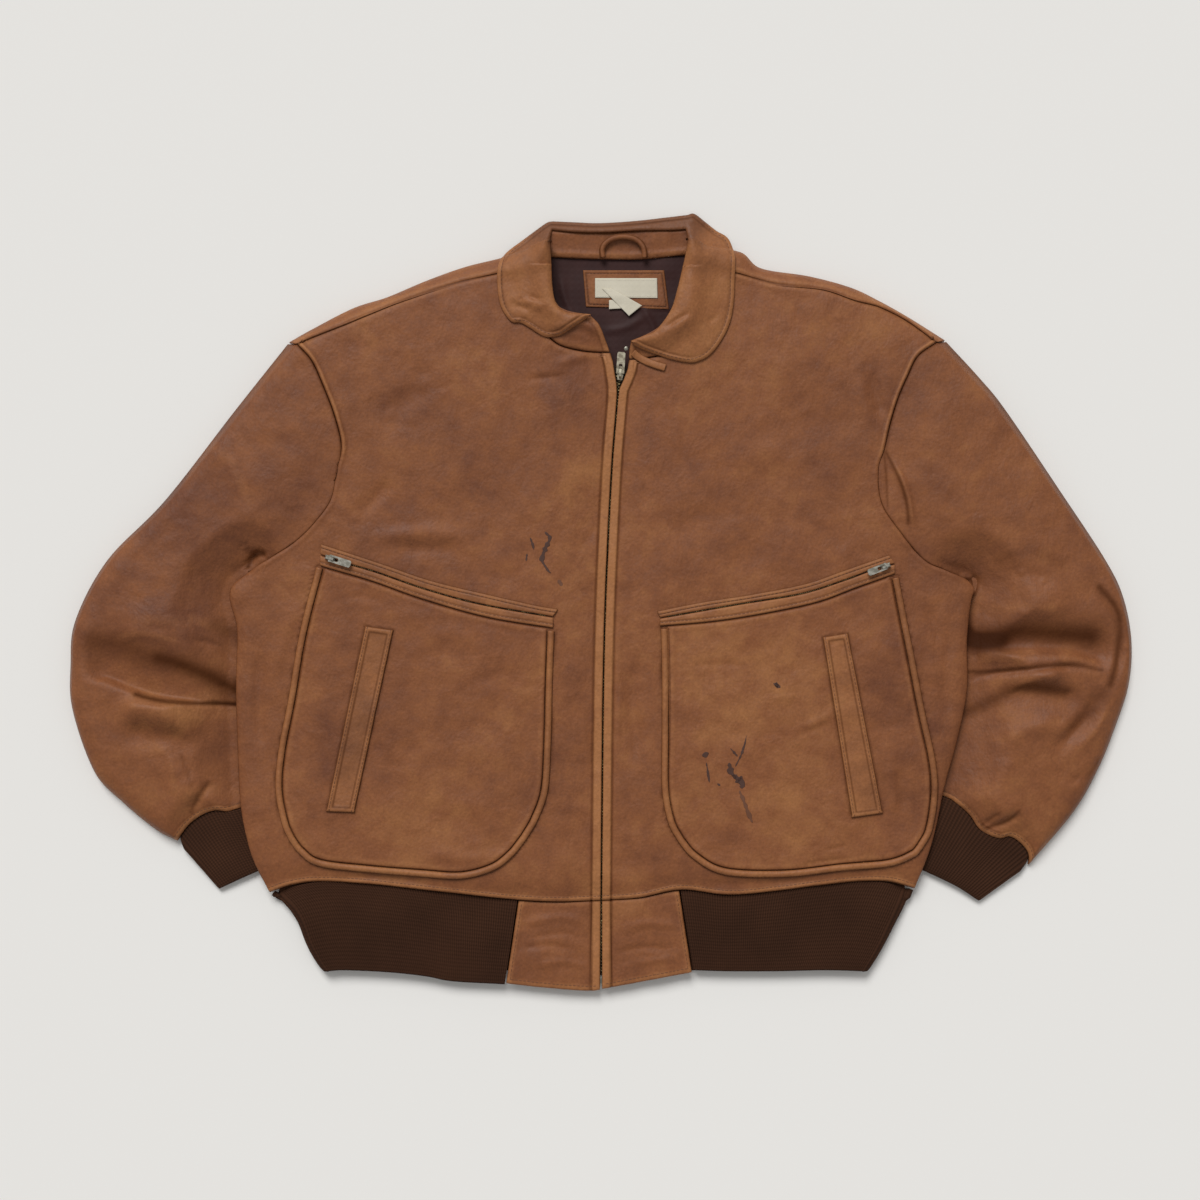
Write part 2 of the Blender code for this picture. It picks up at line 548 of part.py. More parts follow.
def front_grid(side):
    """Plan grid [column, row] of a front, from the zip to the side and from shoulder to hem."""
    sign = 1 if side == "right" else -1
    rest = len(BODY_ROWS) - len(NECK_STEPS)
    below = (BODY_ROWS[-rest:] - BODY_ROWS[-rest - 1]) / (1 - BODY_ROWS[-rest - 1])
    near = np.vstack([along(NECKLINES[side], NECK_STEPS), along(ZIP_EDGES[side], below)])
    edge = outer_edge(side)
    borders = [beside(edge, sign * inset) for inset in EDGE_INSETS]
    hem_line = HEM_SEAMS[side]
    seam_line = SHOULDER_SEAMS[side]
    for border in borders:
        share = np.linalg.norm(border[-1] - edge[-1])
        border[-1] = along(hem_line, 1 - share / FRONT_WIDTH)
        border[0] = along(seam_line, 1 - share / FRONT_WIDTH)
    borders[-1] = edge
    part = 1 - EDGE_INSETS[0] / FRONT_WIDTH
    hem, seam = along(hem_line, FRONT_COLUMNS * part), along(seam_line, FRONT_COLUMNS * part)
    hem[0], hem[-1], seam[0], seam[-1] = near[-1], borders[0][-1], near[0], borders[0][0]
    inner = coons(seam, hem, near, borders[0], FRONT_COLUMNS, BODY_ROWS)
    return np.concatenate([inner, [borders[1], borders[2]]])


def build_fronts():
    for side in SIDES:
        grid = front_grid(side)
        top = body_top(grid)
        foot = wall_below(body_top, grid, LEATHER, side_lift(grid) + LEATHER + GAP)
        slab(f"front_{side}", grid, top, foot, "leather")


def build_yokes():
    """The back's shoulder strips, rolled over the shoulder and standing on the floor at the outline."""
    shares = np.array([0, 0.1, 0.3, 0.55, 0.75, 0.9, 1.0])
    for index, side in enumerate(SIDES):
        sign = 1 if side == "right" else -1
        seam = beside(front_grid(side)[:, 0], -sign * SEAM_GAP)
        line = along(SHOULDERS[index], YOKE_COLUMNS)
        rows = shares[None, :, None]
        grid = line[:, None] * (1 - rows) + seam[:, None] * rows
        top = body_top(grid)
        foot = wall_below(body_top, grid, LEATHER, 0.0)
        foot[:, 0] = 0.0
        slab(f"yoke_{side}", grid, top, foot, "leather")


def back_grid():
    """Plan grid of the back, from the right side to the left, shoulder to hem, inside the yoke strips."""
    arm = ARM_STEPS + BACK_TIP * (1 - ARM_STEPS)**8
    edges = [outer_edge("right", arm), outer_edge("left", arm)]
    inset = EDGE_INSETS[0]
    near, far = beside(edges[0], inset), beside(edges[1], -inset)
    right = beside(SHOULDERS[0], YOKE_INSET)[::-1]
    left = beside(SHOULDERS[1], -YOKE_INSET)
    head = np.vstack([near[:1], right[14:-2], spline(plan(BACK_NECK)), left[2:-14], far[:1]])
    hem_line = np.vstack([HEM_SEAMS["right"][::-1], HEM_SEAMS["left"]])
    part = inset / np.linalg.norm(np.diff(hem_line, axis=0), axis=1).sum()
    head_points = along(head, BACK_COLUMNS)
    hem_points = along(hem_line, part + BACK_COLUMNS * (1 - 2 * part))
    near[-1], far[-1] = hem_points[0], hem_points[-1]
    inner = coons(head_points, hem_points, near, far, BACK_COLUMNS, BODY_ROWS)
    return np.concatenate([edges[:1], inner, edges[1:]])


def build_back():
    """The back on the floor, its side edges held up by the sleeves; the lining where the neck shows it."""
    grid = back_grid()
    lift = side_lift(grid)
    slab("back", grid, lift + LEATHER, lift, "leather")
    shares = np.linspace(0, 1, 6)
    head = along(spline(plan(BACK_NECK)) - (0, LINING_INSET), shares)
    foot = along(plan(LINING_FOOT), shares)
    grid = head[:, None] * (1 - shares[None, :, None]) + foot[:, None] * shares[None, :, None]
    level = np.full(grid.shape[:2], LEATHER + GAP)
    slab("lining_back", grid, level + LINING, level, "lining")


def sleeve_grid(side, across, outer_rows, lower, inner_rows):
    """Plan grid [across, row] of a sleeve; its inner edge is the lower armhole and then the underarm fold."""
    sign = 1 if side == "right" else -1
    arm_shares = np.concatenate([across * ARM_SPLIT, ARM_SPLIT + lower * (1 - ARM_SPLIT)])
    arm = beside(along(ARMHOLES[side], arm_shares), -sign * ARM_GAP)
    outer = along(SLEEVE_EDGES[side], outer_rows)
    inner = np.vstack([arm[len(across) - 1:], along(SLEEVE_INNERS[side], inner_rows)])
    head = arm[:len(across)].copy()
    cuff = along(CUFF_SEAMS[side], across)
    head[0] = outer[0]
    cuff[0], cuff[-1] = outer[-1], inner[-1]
    return coons(head, cuff, outer, inner, across, outer_rows)


def build_sleeves():
    for side in SIDES:
        grid = sleeve_grid(side, ARM_UPPER, OUTER_ROWS, ARM_LOWER, INNER_ROWS)
        top = sleeve_top(grid, side)
        foot = wall_below(lambda p: sleeve_top(p, side), grid, LEATHER, LEATHER + GAP)
        slab(f"sleeve_{side}_top", grid, top, foot, "leather")
        under = np.zeros(grid.shape[:2])
        slab(f"sleeve_{side}_under", grid, under + LEATHER, under, "leather")


def build_cuffs():
    """Each cuff is a flattened knitted tube from the sleeve's end to its own edge."""
    across = ARM_UPPER
    rows = np.array([0, 0.15, 0.4, 0.7, 1.0])
    for side in SIDES:
        sign = 1 if side == "right" else -1
        seam = beside(along(CUFF_SEAMS[side], across), -sign * CUFF_TO_SEAM)
        end = along(spline(plan(CUFF_END[side], EDGE_LEVEL)), across)
        start = seam[0] * 0.8 + end[0] * 0.2
        seam[0], seam[1] = start, seam[1] * 0.6 + start * 0.4
        grid = seam[None] * (1 - rows[:, None, None]) + end[None] * rows[:, None, None]
        width = np.linalg.norm(grid[:, -1] - grid[:, 0], axis=1)[:, None, None]
        axis = (grid[:, -1:] - grid[:, :1]) / width
        centre = (grid[:, -1:] + grid[:, :1]) / 2
        shrink = 1 - 2 * KNIT / width
        inner = grid + ((grid - centre) * axis).sum(-1, keepdims=True) * (shrink - 1) * axis
        bulge = np.sin(np.arccos(np.clip(1 - 2 * across, -1, 1)))**0.5
        middle = CUFF_TOP / 2
        rise = middle * bulge[None, :]
        rise_in = (middle - KNIT) * bulge[None, :]
        flat = np.ones((len(rows), 1))
        top = np.dstack([grid, middle + rise * flat])
        foot = np.dstack([grid, middle - rise * flat])
        top_in = np.dstack([inner, middle + rise_in * flat])
        foot_in = np.dstack([inner, middle - rise_in * flat])
        outer_ring = np.concatenate([top, foot[:, -2:0:-1]], axis=1)
        inner_ring = np.concatenate([top_in, foot_in[:, -2:0:-1]], axis=1)
        shell(f"cuff_{side}", outer_ring, inner_ring, "knit", ring=True)


def rib_face(inset):
    """Points of the hem rib's outer face, or its inner face when inset: front, roll, back, roll, front."""
    rows = np.array([0, 0.25, 0.5, 0.75, 1.0])
    level = RIB_TOP - RIB_FALL * rows
    radius = level / 2
    halves = {}
    for side in SIDES:
        seam = HEM_SEAMS[side] - (0, RIB_TO_SEAM)
        shares = TAB_SHARE[side] + (1 - TAB_SHARE[side]) * np.linspace(0, 1, 9)
        top = along(seam, shares)
        end = along(spline(plan(RIB_END[side], EDGE_LEVEL)), np.linspace(0, 1, 9))
        edge = along(spline(plan(RIB_SIDE[side], EDGE_LEVEL)) - (0, SEAM_GAP), rows)
        tab_edge = np.stack([top[0] * (1 - r) + end[0] * r for r in rows])
        top[-1], end[-1] = edge[0], edge[-1]
        grid = coons(top, end, tab_edge, edge, np.linspace(0, 1, 9), rows)
        inward = 1 if side == "right" else -1
        span = grid[-1, :, 0] - grid[0, :, 0]
        share = (grid[..., 0] - grid[0, :, 0]) / span
        grid[..., 0] += share * inward * radius
        front = np.dstack([grid, np.broadcast_to(level - inset, grid.shape[:2])])
        turn = np.linspace(0, np.pi, 7)[1:-1, None]
        roll_x = edge[None, :, 0] + inward * (radius - (radius - inset) * np.sin(turn))
        roll_z = radius + (radius - inset) * np.cos(turn)
        roll = np.dstack([roll_x, np.broadcast_to(edge[None, :, 1], roll_x.shape), roll_z])
        back_edge = np.stack([edge[:, 0] + inward * radius, edge[:, 1], np.full(5, inset)], axis=-1)
        halves[side] = (front, roll, back_edge)
    shares = np.linspace(0, 1, 13)[:, None, None]
    back = halves["right"][2][None] * (1 - shares) + halves["left"][2][None] * shares
    hem = back_grid()[:, -1]
    drop = np.interp(back[:, 0, 0], hem[:, 0], hem[:, 1]) - RIB_TO_SEAM - back[:, 0, 1]
    back[..., 1] += drop[:, None] * (1 - rows)
    parts = [halves["right"][0], halves["right"][1], back, halves["left"][1][::-1], halves["left"][0][::-1]]
    face = np.concatenate(parts)
    face[..., 2] += side_lift(face[..., :2]) * (1 - ease((face[..., 2] - 0.004) / 0.008))
    return face


def build_hem():
    shell("hem_rib", rib_face(0.0), rib_face(KNIT), "knit")
    rows = np.linspace(0, 1, 4)
    for side in SIDES:
        sign = 1 if side == "right" else -1
        columns = np.linspace(0, 1, 5)
        seam = along(HEM_SEAMS[side] - (0, SEAM_GAP), columns * (TAB_SHARE[side] - 0.004))
        end = along(spline(plan(HEM_TAB_END[side], EDGE_LEVEL)), columns)
        end[:, 0] += sign * TAB_BESIDE_ZIP
        near = seam[0] * (1 - rows[:, None]) + end[0] * rows[:, None]
        far = seam[-1] * (1 - rows[:, None]) + end[-1] * rows[:, None]
        grid = coons(seam, end, near, far, columns, rows)
        top = np.broadcast_to(TAB_TOP - RIB_FALL * rows, grid.shape[:2])
        slab(f"hem_tab_{side}", grid, top, top - LEATHER, "leather")


def neck_level(p):
    """Level of the front and, inside the neckline, of the stand that rises from it toward the roll."""
    d_neck = np.minimum(distance(p, NECKLINES["right"]), distance(p, NECKLINES["left"]))
    loop = np.vstack([NECKLINES["right"], NECKLINES["left"][::-1]])
    return body_top(p) + STAND_RISE * ease(d_neck / STAND_WIDTH) * inside(p, loop)


def build_stands():
    """Collar stand: a part on each front, leaning in over the neck, and the part along the back."""
    columns = NECK_STEPS
    rows = np.linspace(0, 1, 4)
    for side in SIDES:
        sign = 1 if side == "right" else -1
        foot = beside(along(NECKLINES[side], columns), sign * SEAM_GAP)
        roll = along(spline(plan(STAND_ROLL[side], TOP_LEVEL)), columns)
        near = foot[0] * (1 - rows[:, None]) + roll[0] * rows[:, None]
        far = along(spline(plan(STAND_FRONT[side], TOP_LEVEL)), rows)
        foot[-1], roll[-1] = far[0], far[-1]
        grid = coons(foot, roll, near, far, columns, rows)
        top = neck_level(grid)
        slab(f"stand_{side}", grid, top, top - LEATHER, "leather")
    columns = np.linspace(0, 1, 7)
    top_line = along(spline(plan(BACK_STAND_TOP, COLLAR_LEVEL / 2)), columns)
    foot_line = along(spline(plan(BACK_STAND_FOOT, COLLAR_LEVEL / 2)), columns)
    grid = top_line[:, None] * (1 - rows[None, :, None]) + foot_line[:, None] * rows[None, :, None]
    top = np.broadcast_to(STAND_BACK_TOP - STAND_BACK_FALL * rows, grid.shape[:2])
    slab("stand_back", grid, top, top - LEATHER, "leather")


BACK_LINE = np.vstack([SHOULDERS[0][::-1], plan([(552, 243), (612, 242), (686, 241)]), SHOULDERS[1]])


def collar_rest(p):
    """What the collar lies on: stand and front, and past the shoulder line the floor."""
    loop = np.vstack([BACK_LINE, [(BACK_LINE[-1, 0], -1), (BACK_LINE[0, 0], -1)]])
    signed = distance(p, BACK_LINE) * np.where(inside(p, loop), 1, -1)
    edge = LEATHER + GAP + RIM + COLLAR_CLEAR
    beyond = GAP + (edge - GAP) * (1 - ease(-signed / COLLAR_FALL))
    over_roll = COLLAR_OVER_ROLL * (1 - ease(np.abs(signed - OVER_ROLL_AT) / OVER_ROLL_REACH))
    return np.where(signed > 0, np.maximum(neck_level(p) + COLLAR_CLEAR, edge), beyond) + over_roll


def collar_grid(side_count, back_count):
    """Plan grid of the fall, from the right front tip round the back of the neck to the left tip."""
    side_shares, back_shares = np.linspace(0, 1, side_count), np.linspace(0, 1, back_count)[1:-1]
    edges = []
    for sides, back in ((COLLAR_ROLL, COLLAR_BACK_SEAM), (COLLAR_EDGE, COLLAR_BACK_EDGE)):
        edges.append(np.vstack([along(spline(plan(sides["right"], COLLAR_LEVEL)), side_shares),
                                along(spline(plan(back, COLLAR_LEVEL)), back_shares),
                                along(spline(plan(sides["left"], COLLAR_LEVEL)), side_shares)]))
    rows = COLLAR_ROWS[None, :, None]
    return edges[0][:, None] * (1 - rows) + edges[1][:, None] * rows


def build_collar():
    """The fall: rolled at the neck, lying on the fronts, and down to the floor behind the neck."""
    side_count, back_count = 15, 7
    grid = collar_grid(side_count, back_count)
    side_shares = np.linspace(0, 1, side_count)
    knots = np.linspace(0, 1, len(COLLAR_CREST["right"]))
    crest = np.concatenate([np.interp(side_shares, knots, COLLAR_CREST["right"]),
                            np.full(back_count - 2, COLLAR_CREST["left"][0]),
                            np.interp(side_shares, knots, COLLAR_CREST["left"])])
    place = np.concatenate([ease((side_shares - 0.8) / 0.2), np.ones(back_count - 2),
                            1 - ease(side_shares / 0.2)])[:, None]
    profile = COLLAR_CREST_SIDE * (1 - place) + COLLAR_CREST_BACK * place
    foot = collar_rest(grid) + crest[:, None] * profile
    slab("collar", grid, foot + COLLAR_WALL, foot, "tan leather")


def strip_grid(line, width, across):
    """Plan grid of a strip of even width along a line."""
    step = np.gradient(line, axis=0)
    step /= np.linalg.norm(step, axis=1, keepdims=True)
    normal = np.stack([-step[:, 1], step[:, 0]], axis=1)
    return line[:, None] + normal[:, None] * (width * (across - 0.5))[None, :, None]


def build_neck_pieces():
    """Strip at the throat, hanger loop, and the blank label patch, label and folded care tag."""
    line = along(spline(plan(THROAT_STRIP, TOP_LEVEL)), np.linspace(0, 1, 6))
    grid = strip_grid(line, THROAT_STRIP_WIDTH, np.linspace(0, 1, 3))
    foot = neck_level(grid) + COLLAR_CLEAR
    slab("throat_strip", grid, foot + LEATHER, foot, "tan leather")

    radius = LOOP_RADIUS
    line = along(spline(plan(HANGER_LOOP, COLLAR_LEVEL / 2)), np.linspace(0, 1, 15))
    top_y, foot_y = (plan((0, row))[1] for row in LOOP_ROWS)
    share = np.clip((top_y - line[:, 1]) / (top_y - foot_y), 0, 1)
    level = STAND_BACK_TOP - STAND_BACK_FALL * share + 4 * GAP + radius
    turn = np.linspace(0, 2 * np.pi, 9)[:-1]
    step = np.gradient(line, axis=0)
    step /= np.linalg.norm(step, axis=1, keepdims=True)
    normal = np.stack([-step[:, 1], step[:, 0]], axis=1)
    plan_ring = line[:, None] + normal[:, None] * (radius * np.cos(turn))[None, :, None]
    ring = np.dstack([plan_ring, level[:, None] + radius * np.sin(turn)[None]])
    count = ring.shape[0] * ring.shape[1]
    caps = [list(range(7, -1, -1)), list(range(count - 8, count))]
    faces = [list(f) for f in quads(ring.shape[0], 8, 0, True)]
    add("hanger_loop", ring.reshape(-1, 3), faces + caps, "leather")
    fix_outward(bpy.data.objects["hanger_loop"].data)

    level = LINING_TOP + GAP
    prism("label_patch", plan(LABEL_PATCH), level, level + PATCH_WALL, "leather")
    level += PATCH_WALL + GAP
    prism("label", plan(LABEL), level, level + PAPER, "label cloth")
    prism("care_tag_end", plan(CARE_TAG_END), level, level + PAPER, "label cloth")
    level += PAPER + GAP
    prism("care_tag", plan(CARE_TAG), level, level + PAPER, "label cloth")


def fix_outward(mesh):
    """Turns the faces of a closed mesh outward."""
    made = bmesh.new()
    made.from_mesh(mesh)
    bmesh.ops.recalc_face_normals(made, faces=made.faces)
    made.to_mesh(mesh)
    made.free()


def build_pockets():
    """Patch, piped edge, two zip welts and the slanted hand welt of each front pocket."""
    shares = np.linspace(0, 1, 9)
    welt_shares = np.linspace(0, 1, 10)
    for side in SIDES:
        sign = 1 if side == "right" else -1
        outer, inner, foot = (along(spline(plan(points[side], TOP_LEVEL)), shares)
                              for points in (POCKET_OUTER, POCKET_INNER, POCKET_FOOT))
        line = np.vstack([outer, foot[1:-1], inner[::-1]])
        across = np.array([0, 0.25, 0.75, 1.0])
        grid = strip_grid(line, PIPING_WIDTH, across)
        level = np.broadcast_to(body_top(line)[:, None] + ON_FRONT, grid.shape[:2])
        rise = PIPING_RISE * np.array([0.4, 1.0, 1.0, 0.4])
        slab(f"pocket_piping_{side}", grid, level + rise, level, "tan leather")

        ring = beside(line, sign * (PIPING_WIDTH / 2 + 2 * GAP))
        last = len(shares)
        outer, foot, inner = ring[:last], ring[last - 1:2 * last - 1], ring[2 * last - 2:][::-1]
        foot[0], foot[-1] = outer[-1], inner[-1]
        mouth = spline(plan(POCKET_BAND_FOOT[side], TOP_LEVEL))[::sign]
        head = along(mouth - (0, 3 * GAP), 0.02 + 0.96 * shares)
        head[0], head[-1] = outer[0], inner[0]
        grid = coons(head, foot, outer, inner, shares, shares)
        level = body_top(grid) + ON_FRONT
        slab(f"pocket_{side}", grid, level + PATCH_WALL, level, "leather")

        zip_line = along(spline(plan(POCKET_ZIP[side], TOP_LEVEL)), welt_shares)
        top_line = along(spline(plan(POCKET_BAND_TOP[side], TOP_LEVEL))[::sign], welt_shares)
        for name, edge, up in (("upper", top_line, 1), ("lower", along(mouth, welt_shares), -1)):
            start = zip_line + (0, up * ZIP_MOUTH / 2)
            rows = np.array([0, 0.5, 1.0])
            grid = start[:, None] * (1 - rows[None, :, None]) + edge[:, None] * rows[None, :, None]
            level = body_top(grid) + ON_FRONT
            slab(f"pocket_welt_{name}_{side}", grid, level + WELT_WALL * np.array([1.0, WELT_BOW, 1.0]), level,
                 "tan leather")

        corners = plan(HAND_WELT[side], TOP_LEVEL)
        rows = np.linspace(0, 1, 9)[:, None]
        near = corners[0] * (1 - rows) + corners[3] * rows
        far = corners[1] * (1 - rows) + corners[2] * rows
        across = np.linspace(0, 1, 2)[None, :, None]
        grid = near[:, None] * (1 - across) + far[:, None] * across
        level = body_top(grid) + 2 * ON_FRONT + PATCH_WALL
        slab(f"hand_welt_{side}", grid, level + PATCH_WALL, level, "tan leather")


def zip_level(line):
    """Top of the main zip's tape: just under the fronts, and under the hem tabs below the hem seam."""
    hem_y, foot_y = (plan((0, row), TOP_LEVEL)[1] for row in TAB_ROWS)
    share = np.clip((hem_y - line[:, 1]) / (hem_y - foot_y), 0, 1)
    tab = TAB_TOP - RIB_FALL * share
    return np.where(line[:, 1] > hem_y + 0.002, body_top(line), np.minimum(tab, body_top(line[-3:-2]))) - TAPE_DOWN


def build_zip():
    """Tape of the main zip with its box at the hem."""
    line = along(spline(plan(ZIP_TAPE, TOP_LEVEL)), ZIP_TAPE_STEPS)
    grid = strip_grid(line, ZIP_TAPE_WIDTH, np.array([0, 1.0]))
    level = np.broadcast_to(zip_level(line)[:, None], grid.shape[:2])
    slab("zip_tape", grid, level, level - TAPE_WALL, "lining")
    level = TAB_TOP - RIB_FALL - TAPE_DOWN
    prism("zip_box", plan(ZIP_BOX, TOP_LEVEL), level - LEATHER, level, "brass")


def hardware_level(name):
    """Underside of a slider: on the zip tape, or on the pocket welts."""
    place = plan(SLIDER_PLACE[name], TOP_LEVEL)
    if name == "main":
        return float(body_top(place[None])[0]) - TAPE_DOWN + GAP
    return float(body_top(place[None])[0]) + ON_FRONT + WELT_WALL * WELT_BOW + 2 * GAP


def build_slider(name):
    """Slider plate with its crown, and the pull tab whose bar turns under the crown."""
    place = plan(SLIDER_PLACE[name], TOP_LEVEL)
    toward = plan(PULL_TOWARD[name], TOP_LEVEL) - place
    turn = float(np.arctan2(toward[1], toward[0])) - np.pi / 2
    level = hardware_level(name)
    depth = SLIDER_DEPTH[name]
    half_length, half_width = SLIDER_LENGTH[name] / 2, SLIDER_WIDTH[name] / 2
    body_name = "zip_slider" if name == "main" else f"pocket_slider_{name}"
    tail = SLIDER_TAIL * half_width
    outline = [(-half_width, half_length), (half_width, half_length), (tail, -half_length), (-tail, -half_length)]
    plate = prism(body_name, outline, 0.0, depth, "brass")
    reach = CROWN_HALF
    top = depth + CROWN_CLEAR
    root, bend, brow = depth - CROWN_DOWN, reach - CROWN_SHOULDER, top + CROWN_WALL - CROWN_DROP
    arch_out = [(reach, root), (reach, top - CROWN_DOWN), (bend, brow), (0, top + CROWN_WALL), (-bend, brow),
                (-reach, top - CROWN_DOWN), (-reach, root)]
    foot = reach - CROWN_WALL
    bend, brow, knee = foot - CROWN_DOWN, top - CROWN_DROP / 2, top - CROWN_DOWN - CROWN_DROP
    arch_in = [(foot, root), (foot, knee), (bend, brow), (0, top), (-bend, brow), (-foot, knee), (-foot, root)]
    half = CROWN_WIDTH / 2
    sheets = [np.array([[(x, y, z) for y, z in arch] for x in (-half, half)]) for arch in (arch_out, arch_in)]
    crown = shell(f"crown_cutter_{name}", sheets[0], sheets[1], "brass")
    crown.hide_render = True
    crown.display_type = "WIRE"
    join = plate.modifiers.new("crown", "BOOLEAN")
    join.operation = "UNION"
    join.object = crown
    for item in (plate, crown):
        item.location = (*place, level)
        item.rotation_euler = (0, 0, turn)

    length, width = PULL_LENGTH[name], PULL_WIDTH[name] / 2
    slot, slot_end = PULL_SLOT[0] / 2, PULL_SLOT[1]
    bar = PULL_BAR / 2
    soft, neck = PULL_SOFT, PULL_NECK
    outer = [(-width, -bar), (0, -bar), (width, -bar), (width, neck), (width, slot_end), (width, length - soft),
             (width - soft, length), (0, length), (soft - width, length), (-width, length - soft),
             (-width, slot_end), (-width, neck)]
    low, high = slot_end - SLOT_SOFT, slot_end - SLOT_CORNER
    wide, narrow = slot - SLOT_CORNER, slot - SLOT_SOFT
    inner = [(-slot, bar), (0, bar), (slot, bar), (slot, neck), (slot, low), (wide, high), (narrow, slot_end),
             (0, slot_end), (-narrow, slot_end), (-wide, high), (-slot, low), (-slot, neck)]
    half = PULL_THICKNESS / 2
    rings = [np.array([[(x, y, z) for x, y in loop] for z in (-half, half)]) for loop in (outer, inner)]
    pull = shell("zip_pull" if name == "main" else f"pocket_pull_{name}", rings[0], rings[1], "brass", ring=True)
    pull.location = (*place, level + depth + HINGE_RISE)
    pull.rotation_euler = (0, 0, turn)


def centre_on_floor():
    """Moves everything so that the middle of the footprint is the origin."""
    bpy.context.view_layer.update()
    items = [item for item in bpy.data.objects if not item.hide_render]
    corners = np.array([item.matrix_world @ vertex.co for item in items for vertex in item.data.vertices])
    middle = (corners.min(axis=0) + corners.max(axis=0)) / 2
    for item in bpy.data.objects:
        item.location.x -= middle[0]
        item.location.y -= middle[1]


def main():
    clear_scene()
    build_fronts()
    build_yokes()
    build_back()
    build_sleeves()
    build_cuffs()
    build_hem()
    build_stands()
    build_collar()
    build_neck_pieces()
    build_pockets()
    build_zip()
    for name in ("main", "right", "left"):
        build_slider(name)
    centre_on_floor()


main()
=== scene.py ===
"""Looks of a worn leather blouson that lies flat on its back.

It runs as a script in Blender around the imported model. Every panel is a dense plan grid between the
same seam curves as its CAD node, with a height field for its outer face; the wall behind it follows
the surface's normals. Seam curves are in photo pixels, x right and y down, and plan() turns them to metres.
"""

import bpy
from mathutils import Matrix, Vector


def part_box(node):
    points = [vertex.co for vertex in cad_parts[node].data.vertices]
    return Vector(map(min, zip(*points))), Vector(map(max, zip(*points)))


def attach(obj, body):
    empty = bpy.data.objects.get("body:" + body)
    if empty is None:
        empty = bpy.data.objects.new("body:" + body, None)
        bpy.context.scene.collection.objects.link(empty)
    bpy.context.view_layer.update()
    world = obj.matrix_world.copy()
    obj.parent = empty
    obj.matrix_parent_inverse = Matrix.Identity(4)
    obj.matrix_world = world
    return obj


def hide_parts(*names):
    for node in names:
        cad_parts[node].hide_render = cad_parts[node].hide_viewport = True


bl_info = {
    "name": "Worn leather blouson",
    "version": (1, 0, 0),
    "blender": (4, 5, 0),
    "location": "View3D > Sidebar > Jacket",
    "description": "Builds the looks of a worn leather blouson around its packed model",
    "category": "Object",
}

import bpy
import numpy as np
from mathutils import Vector

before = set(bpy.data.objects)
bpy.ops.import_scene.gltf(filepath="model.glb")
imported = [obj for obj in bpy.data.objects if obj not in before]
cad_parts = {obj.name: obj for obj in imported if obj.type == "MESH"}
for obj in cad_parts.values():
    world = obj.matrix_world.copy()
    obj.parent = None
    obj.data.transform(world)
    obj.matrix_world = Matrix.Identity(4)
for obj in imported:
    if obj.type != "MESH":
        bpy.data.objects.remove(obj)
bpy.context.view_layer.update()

# Scale of the photo, as in the CAD source
CHEST_WIDTH = 0.663
CHEST_PIXELS = 737
PX = CHEST_WIDTH / CHEST_PIXELS
MM = 0.001
PHOTO_MIDDLE = (600, 600)
PHOTO_SIDE = 1200
VIEW_HEIGHT = 2.0
SENSOR = 36.0

# Walls and levels, as in the CAD source
LEATHER = 0.002
LINING = 0.001
KNIT = 0.0026
GAP = 0.0003
SEAM_GAP = 0.0005
# Least height of a wall's inner side over the floor
FLOOR_GAP = 0.0002
# How far the hem's upper corners are tucked in, and over what reach
CORNER_TUCK = 0.0035
CORNER_REACH = 0.012
ARM_TOUCH = 0.0002
RIM = 0.0012
BODY_HEIGHT = 0.0165
BODY_SWELL = 0.003
SIDE_ROUND = 0.014
OUTLINE_ROUND = 0.02
SLEEVE_HEIGHT = 0.017
SLEEVE_SWELL = 0.005
SIDE_LIFT = 0.0082
SIDE_LIFT_WIDTH = 0.038
SIDE_LIFT_FALL = 0.072
SLEEVE_UNDER_BODY = 0.0051
SLEEVE_TUCK = 0.008
CUFF_TOP = 0.0074
EDGE_LEVEL = 0.004
TOP_LEVEL = 0.016
COLLAR_LEVEL = 0.016

# Seam curves as x, y, x, y in photo pixels; "right" is the wearer's right, on the photo's left
SHOULDER_SEAM = {
    "right": [527, 266, 497, 274, 453, 284, 402, 301, 372, 313, 341, 326, 318, 335, 297, 344],
    "left": [706, 268, 735, 273, 777, 284, 823, 289, 855, 300, 881, 307, 908, 321, 937, 342]}
SHOULDER_LINE = {
    "right": [527, 250, 500, 258, 464, 267, 425, 281, 387, 297, 353, 308, 312, 329, 289, 342],
    "left": [706, 247, 741, 252, 761, 268, 809, 276, 850, 287, 878, 300, 910, 318, 945, 340]}
ARMHOLE = {
    "right": [297, 344, 312, 361, 324, 387, 334, 413, 341, 439, 341, 455, 337, 470, 331, 500, 314, 524,
        295, 542, 272, 557, 249, 571],
    "left": [937, 342, 918, 356, 908, 375, 898, 398, 890, 424, 884, 450, 878, 470, 881, 503, 899, 531,
        924, 560, 945, 570, 969, 580]}
BODY_SIDE = {
    "right": [249, 571, 232, 585, 229, 600, 236, 630, 235, 680, 236, 730, 239, 797, 245, 835,
        253, 862, 269, 893],
    "left": [969, 580, 975.5, 589, 972, 602, 968, 640, 968, 690, 958, 740, 946, 784, 938, 823, 929, 855,
        915, 889]}
SLEEVE_EDGE = {
    "right": [289, 342, 235, 410, 165, 500, 107, 560, 75, 620, 70, 665, 72, 710, 94, 772, 123, 803,
        156, 830, 177, 841],
    "left": [945, 340, 980, 378, 1006, 410, 1060, 490, 1106, 560, 1124, 598, 1132, 642, 1129, 685, 1116, 726,
        1099, 768, 1074, 812, 1029, 865]}
SLEEVE_INNER = {
    "right": [249, 571, 254, 605, 264, 660, 269, 720, 272, 800],
    "left": [969, 580, 954, 610, 941, 660, 931, 720, 918, 790]}
